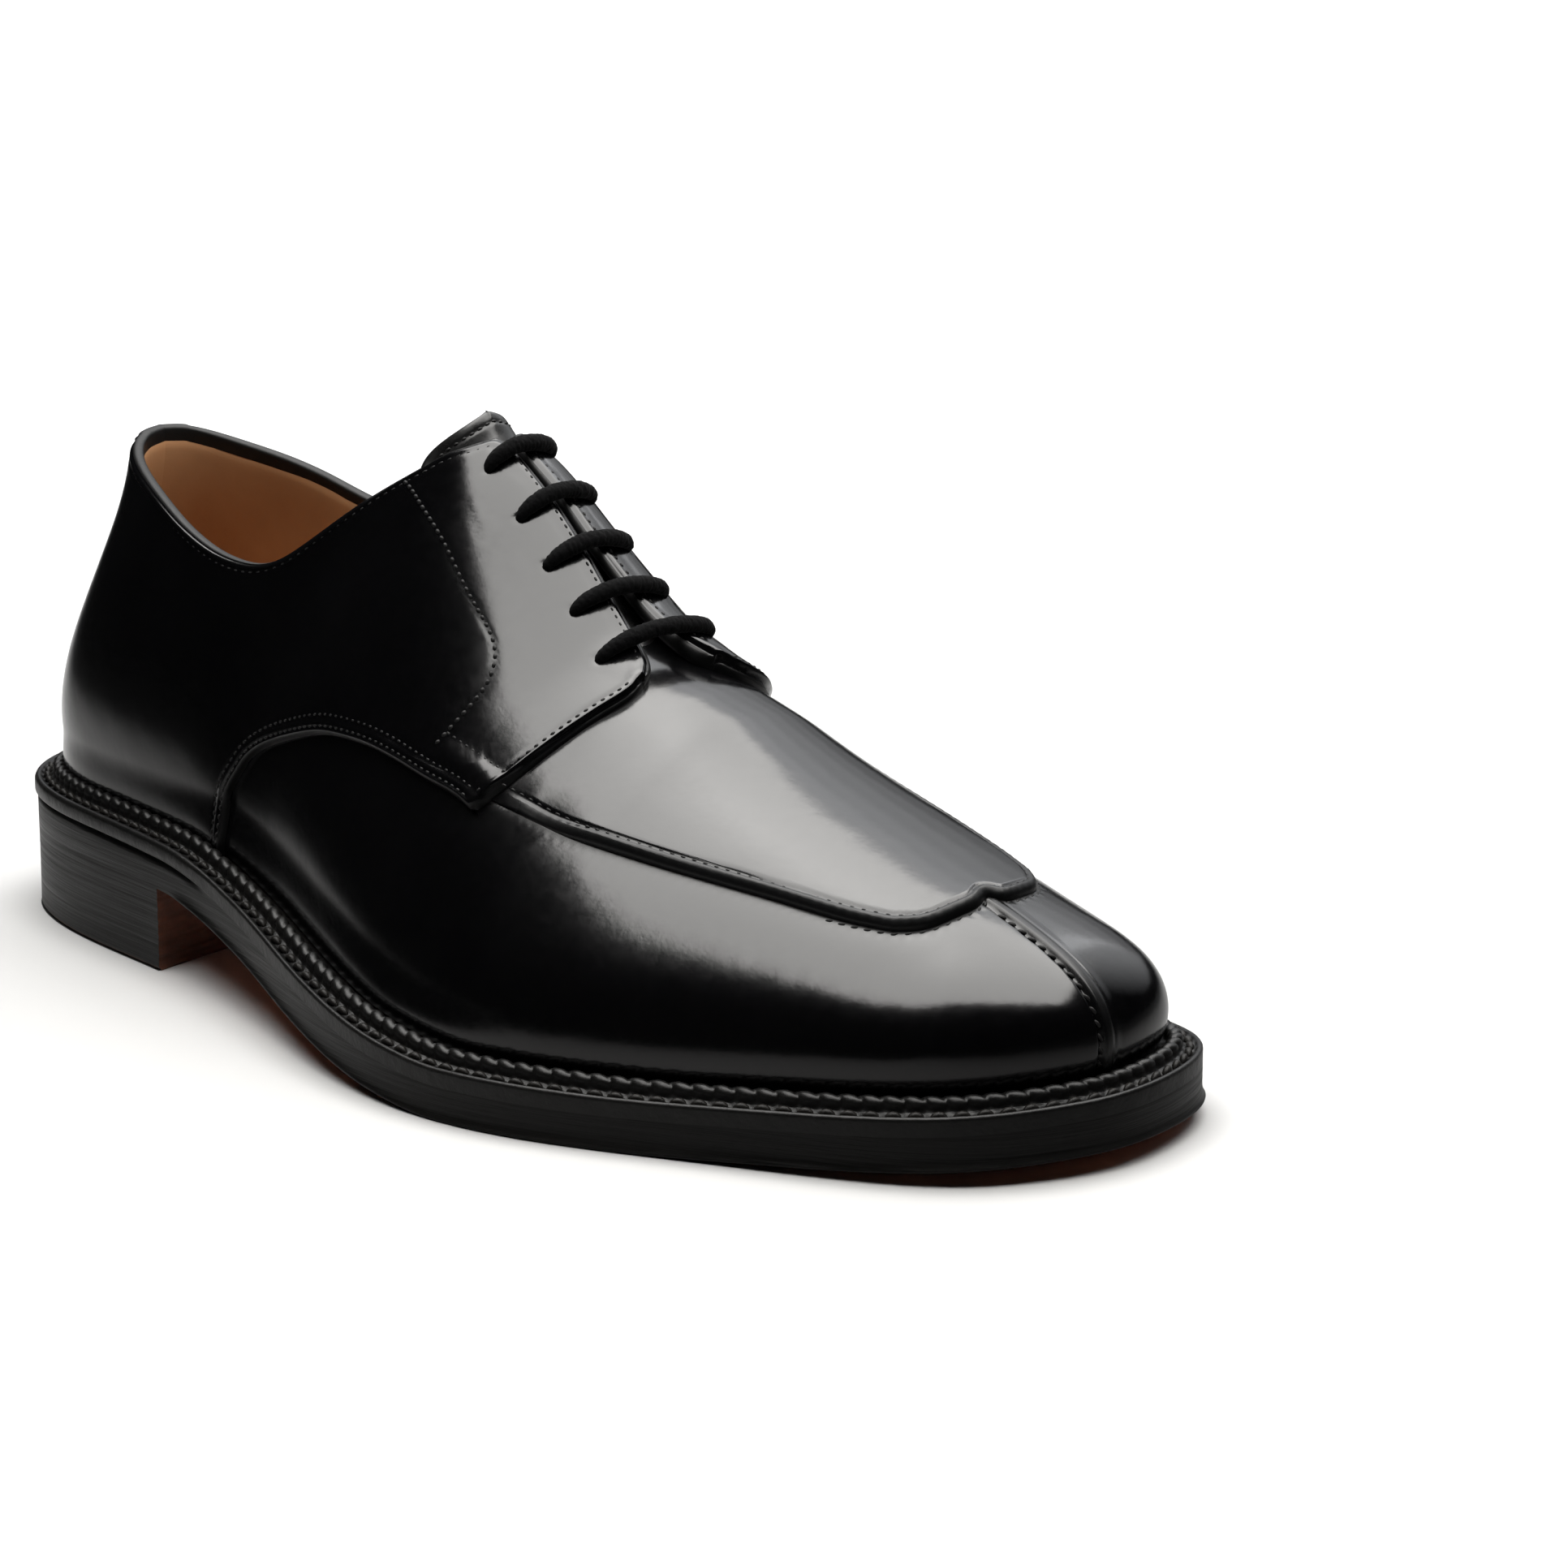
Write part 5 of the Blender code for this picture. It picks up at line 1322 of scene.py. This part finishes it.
def add_floor(name, material, radius, height):
    """Round floor in metres."""
    mesh = bpy.data.meshes.new(name)
    turn = np.linspace(0, 2 * np.pi, 65)[:-1]
    verts = [(radius * np.cos(t), radius * np.sin(t), height) for t in turn]
    mesh.from_pydata(verts, [], [tuple(range(64))])
    mesh.materials.append(material)
    floor = show(name, mesh)
    return floor


def fade(tree, heart, spread, kind):
    """Output that falls from 1 at a place on the stage to 0 at a distance from it."""
    where = add_node(tree, "TexCoord")
    fit = add_node(tree, "Mapping")
    fit.vector_type = "TEXTURE"
    set_inputs(fit, Location=studio(*heart), Rotation=(0.0, 0.0, np.radians(VIEW_AZIMUTH)), Scale=spread)
    fall = add_node(tree, "TexGradient")
    fall.gradient_type = kind
    tree.links.new(where.outputs["Object"], fit.inputs["Vector"])
    tree.links.new(fit.outputs["Vector"], fall.inputs["Vector"])
    return fall.outputs["Fac"]


def add_glow(name, corners, heart, spread, kind, radiance, tint):
    """Soft panel between its corners, brightest at its heart, that only lights and is reflected."""
    mesh = bpy.data.meshes.new(name)
    mesh.from_pydata([studio(*c) for c in corners], [], [(0, 3, 2, 1)])
    m, tree, s = new_material(name)
    tree.nodes.remove(s)
    glow = add_node(tree, "Emission", Color=(*tint, 1))
    power = ramp(tree, fade(tree, heart, grey(spread), kind), *radiance, 0.0, 1.0)
    tree.links.new(power, glow.inputs["Strength"])
    tree.links.new(glow.outputs["Emission"], tree.nodes["Material Output"].inputs["Surface"])
    mesh.materials.append(m)
    panel = show(name, mesh)
    panel.visible_camera = False
    panel.visible_shadow = False


def add_floors():
    """Pale floor that glows more the farther it lies from the shoe, and over it a dim sheet seen only
    reflected in the shoe, its colour a painted pool of light that fades to black away from its heart.
    """
    m, tree, s = new_material("floor_pale")
    set_inputs(s, Base_Color=(*grey(FLOOR_TONE), 1), Roughness=0.18, Specular_IOR_Level=0.5,
               Emission_Color=(1.0, 1.0, 1.0, 1))
    near = fade(tree, (0.0, 0.0, 0.0), grey(FLOOR_FADE), "SPHERICAL")
    tree.links.new(ramp(tree, near, FLOOR_GLOW, 0.0, 0.0, 0.85), s.inputs["Emission Strength"])
    add_floor("floor", m, FLOOR_RADIUS, 0.0).visible_glossy = False
    m, tree, s = new_material("painted_reflection_floor")
    near = fade(tree, PAINTED_POOL_HEART, PAINTED_POOL_SPREAD, "SPHERICAL")
    # Painted reflection: the sheet's colour is a pool of light, bright at its heart and black away from it
    tree.links.new(colours(tree, near, grey(0.0), grey(PAINTED_POOL_TONE), 0.0, 0.5), s.inputs["Base Color"])
    dim = add_floor("table", m, PAINTED_POOL_RADIUS, 0.0002)
    dim.visible_camera = False
    dim.visible_diffuse = False
    dim.visible_shadow = False


def add_lights():
    """Large soft panel overhead, dimmer bands behind, one at the side, and a dark room."""
    corners = [(right, behind, OVERHEAD_HEIGHT) for right, behind in OVERHEAD_CORNERS]
    add_glow("overhead", corners, (*OVERHEAD_HEART, OVERHEAD_HEIGHT), OVERHEAD_SPREAD, "QUADRATIC_SPHERE",
             OVERHEAD_RADIANCE, OVERHEAD_TINT)
    for low, high, radiance in BACKDROP_BANDS:
        rise = np.radians((low + high) / 2)
        level = BACKDROP_REACH * np.cos(rise)
        place = studio(level * 0.14, level * 0.99, BACKDROP_REACH * np.sin(rise) + 0.06)
        deep = BACKDROP_REACH * np.radians(high - low)
        add_area("backdrop_%d" % low, place, (0.0, 0.0, 0.06), 1.2, deep, radiance)
    corners = [(*SIDE_NEAR, 0.2), (*SIDE_FAR, 0.2), (*SIDE_FAR, 1.5), (*SIDE_NEAR, 1.5)]
    add_glow("side", corners, (*SIDE_NEAR, 0.9), SIDE_SPREAD, "SPHERICAL",
             (0.0, SIDE_RADIANCE), BACKDROP_TINT)
    world = bpy.data.worlds.new("room")
    bpy.context.scene.world = world
    world.use_nodes = True
    set_inputs(world.node_tree.nodes["Background"], Color=(1.0, 1.0, 1.0, 1), Strength=ROOM_LIGHT)
    bpy.context.scene.view_settings.view_transform = "Standard"


add_camera()
front_form = form_tree()
build_vamp(front_form)
build_quarter("quarter_lateral", LATERAL)
build_quarter("quarter_medial", MEDIAL)
build_apron(front_form)
build_tongue()
build_lining()
build_welt()
build_outsole()
build_heel()
build_laces()
stitches.add("stitches", THREAD, "upper_leather")
add_floors()
add_lights()
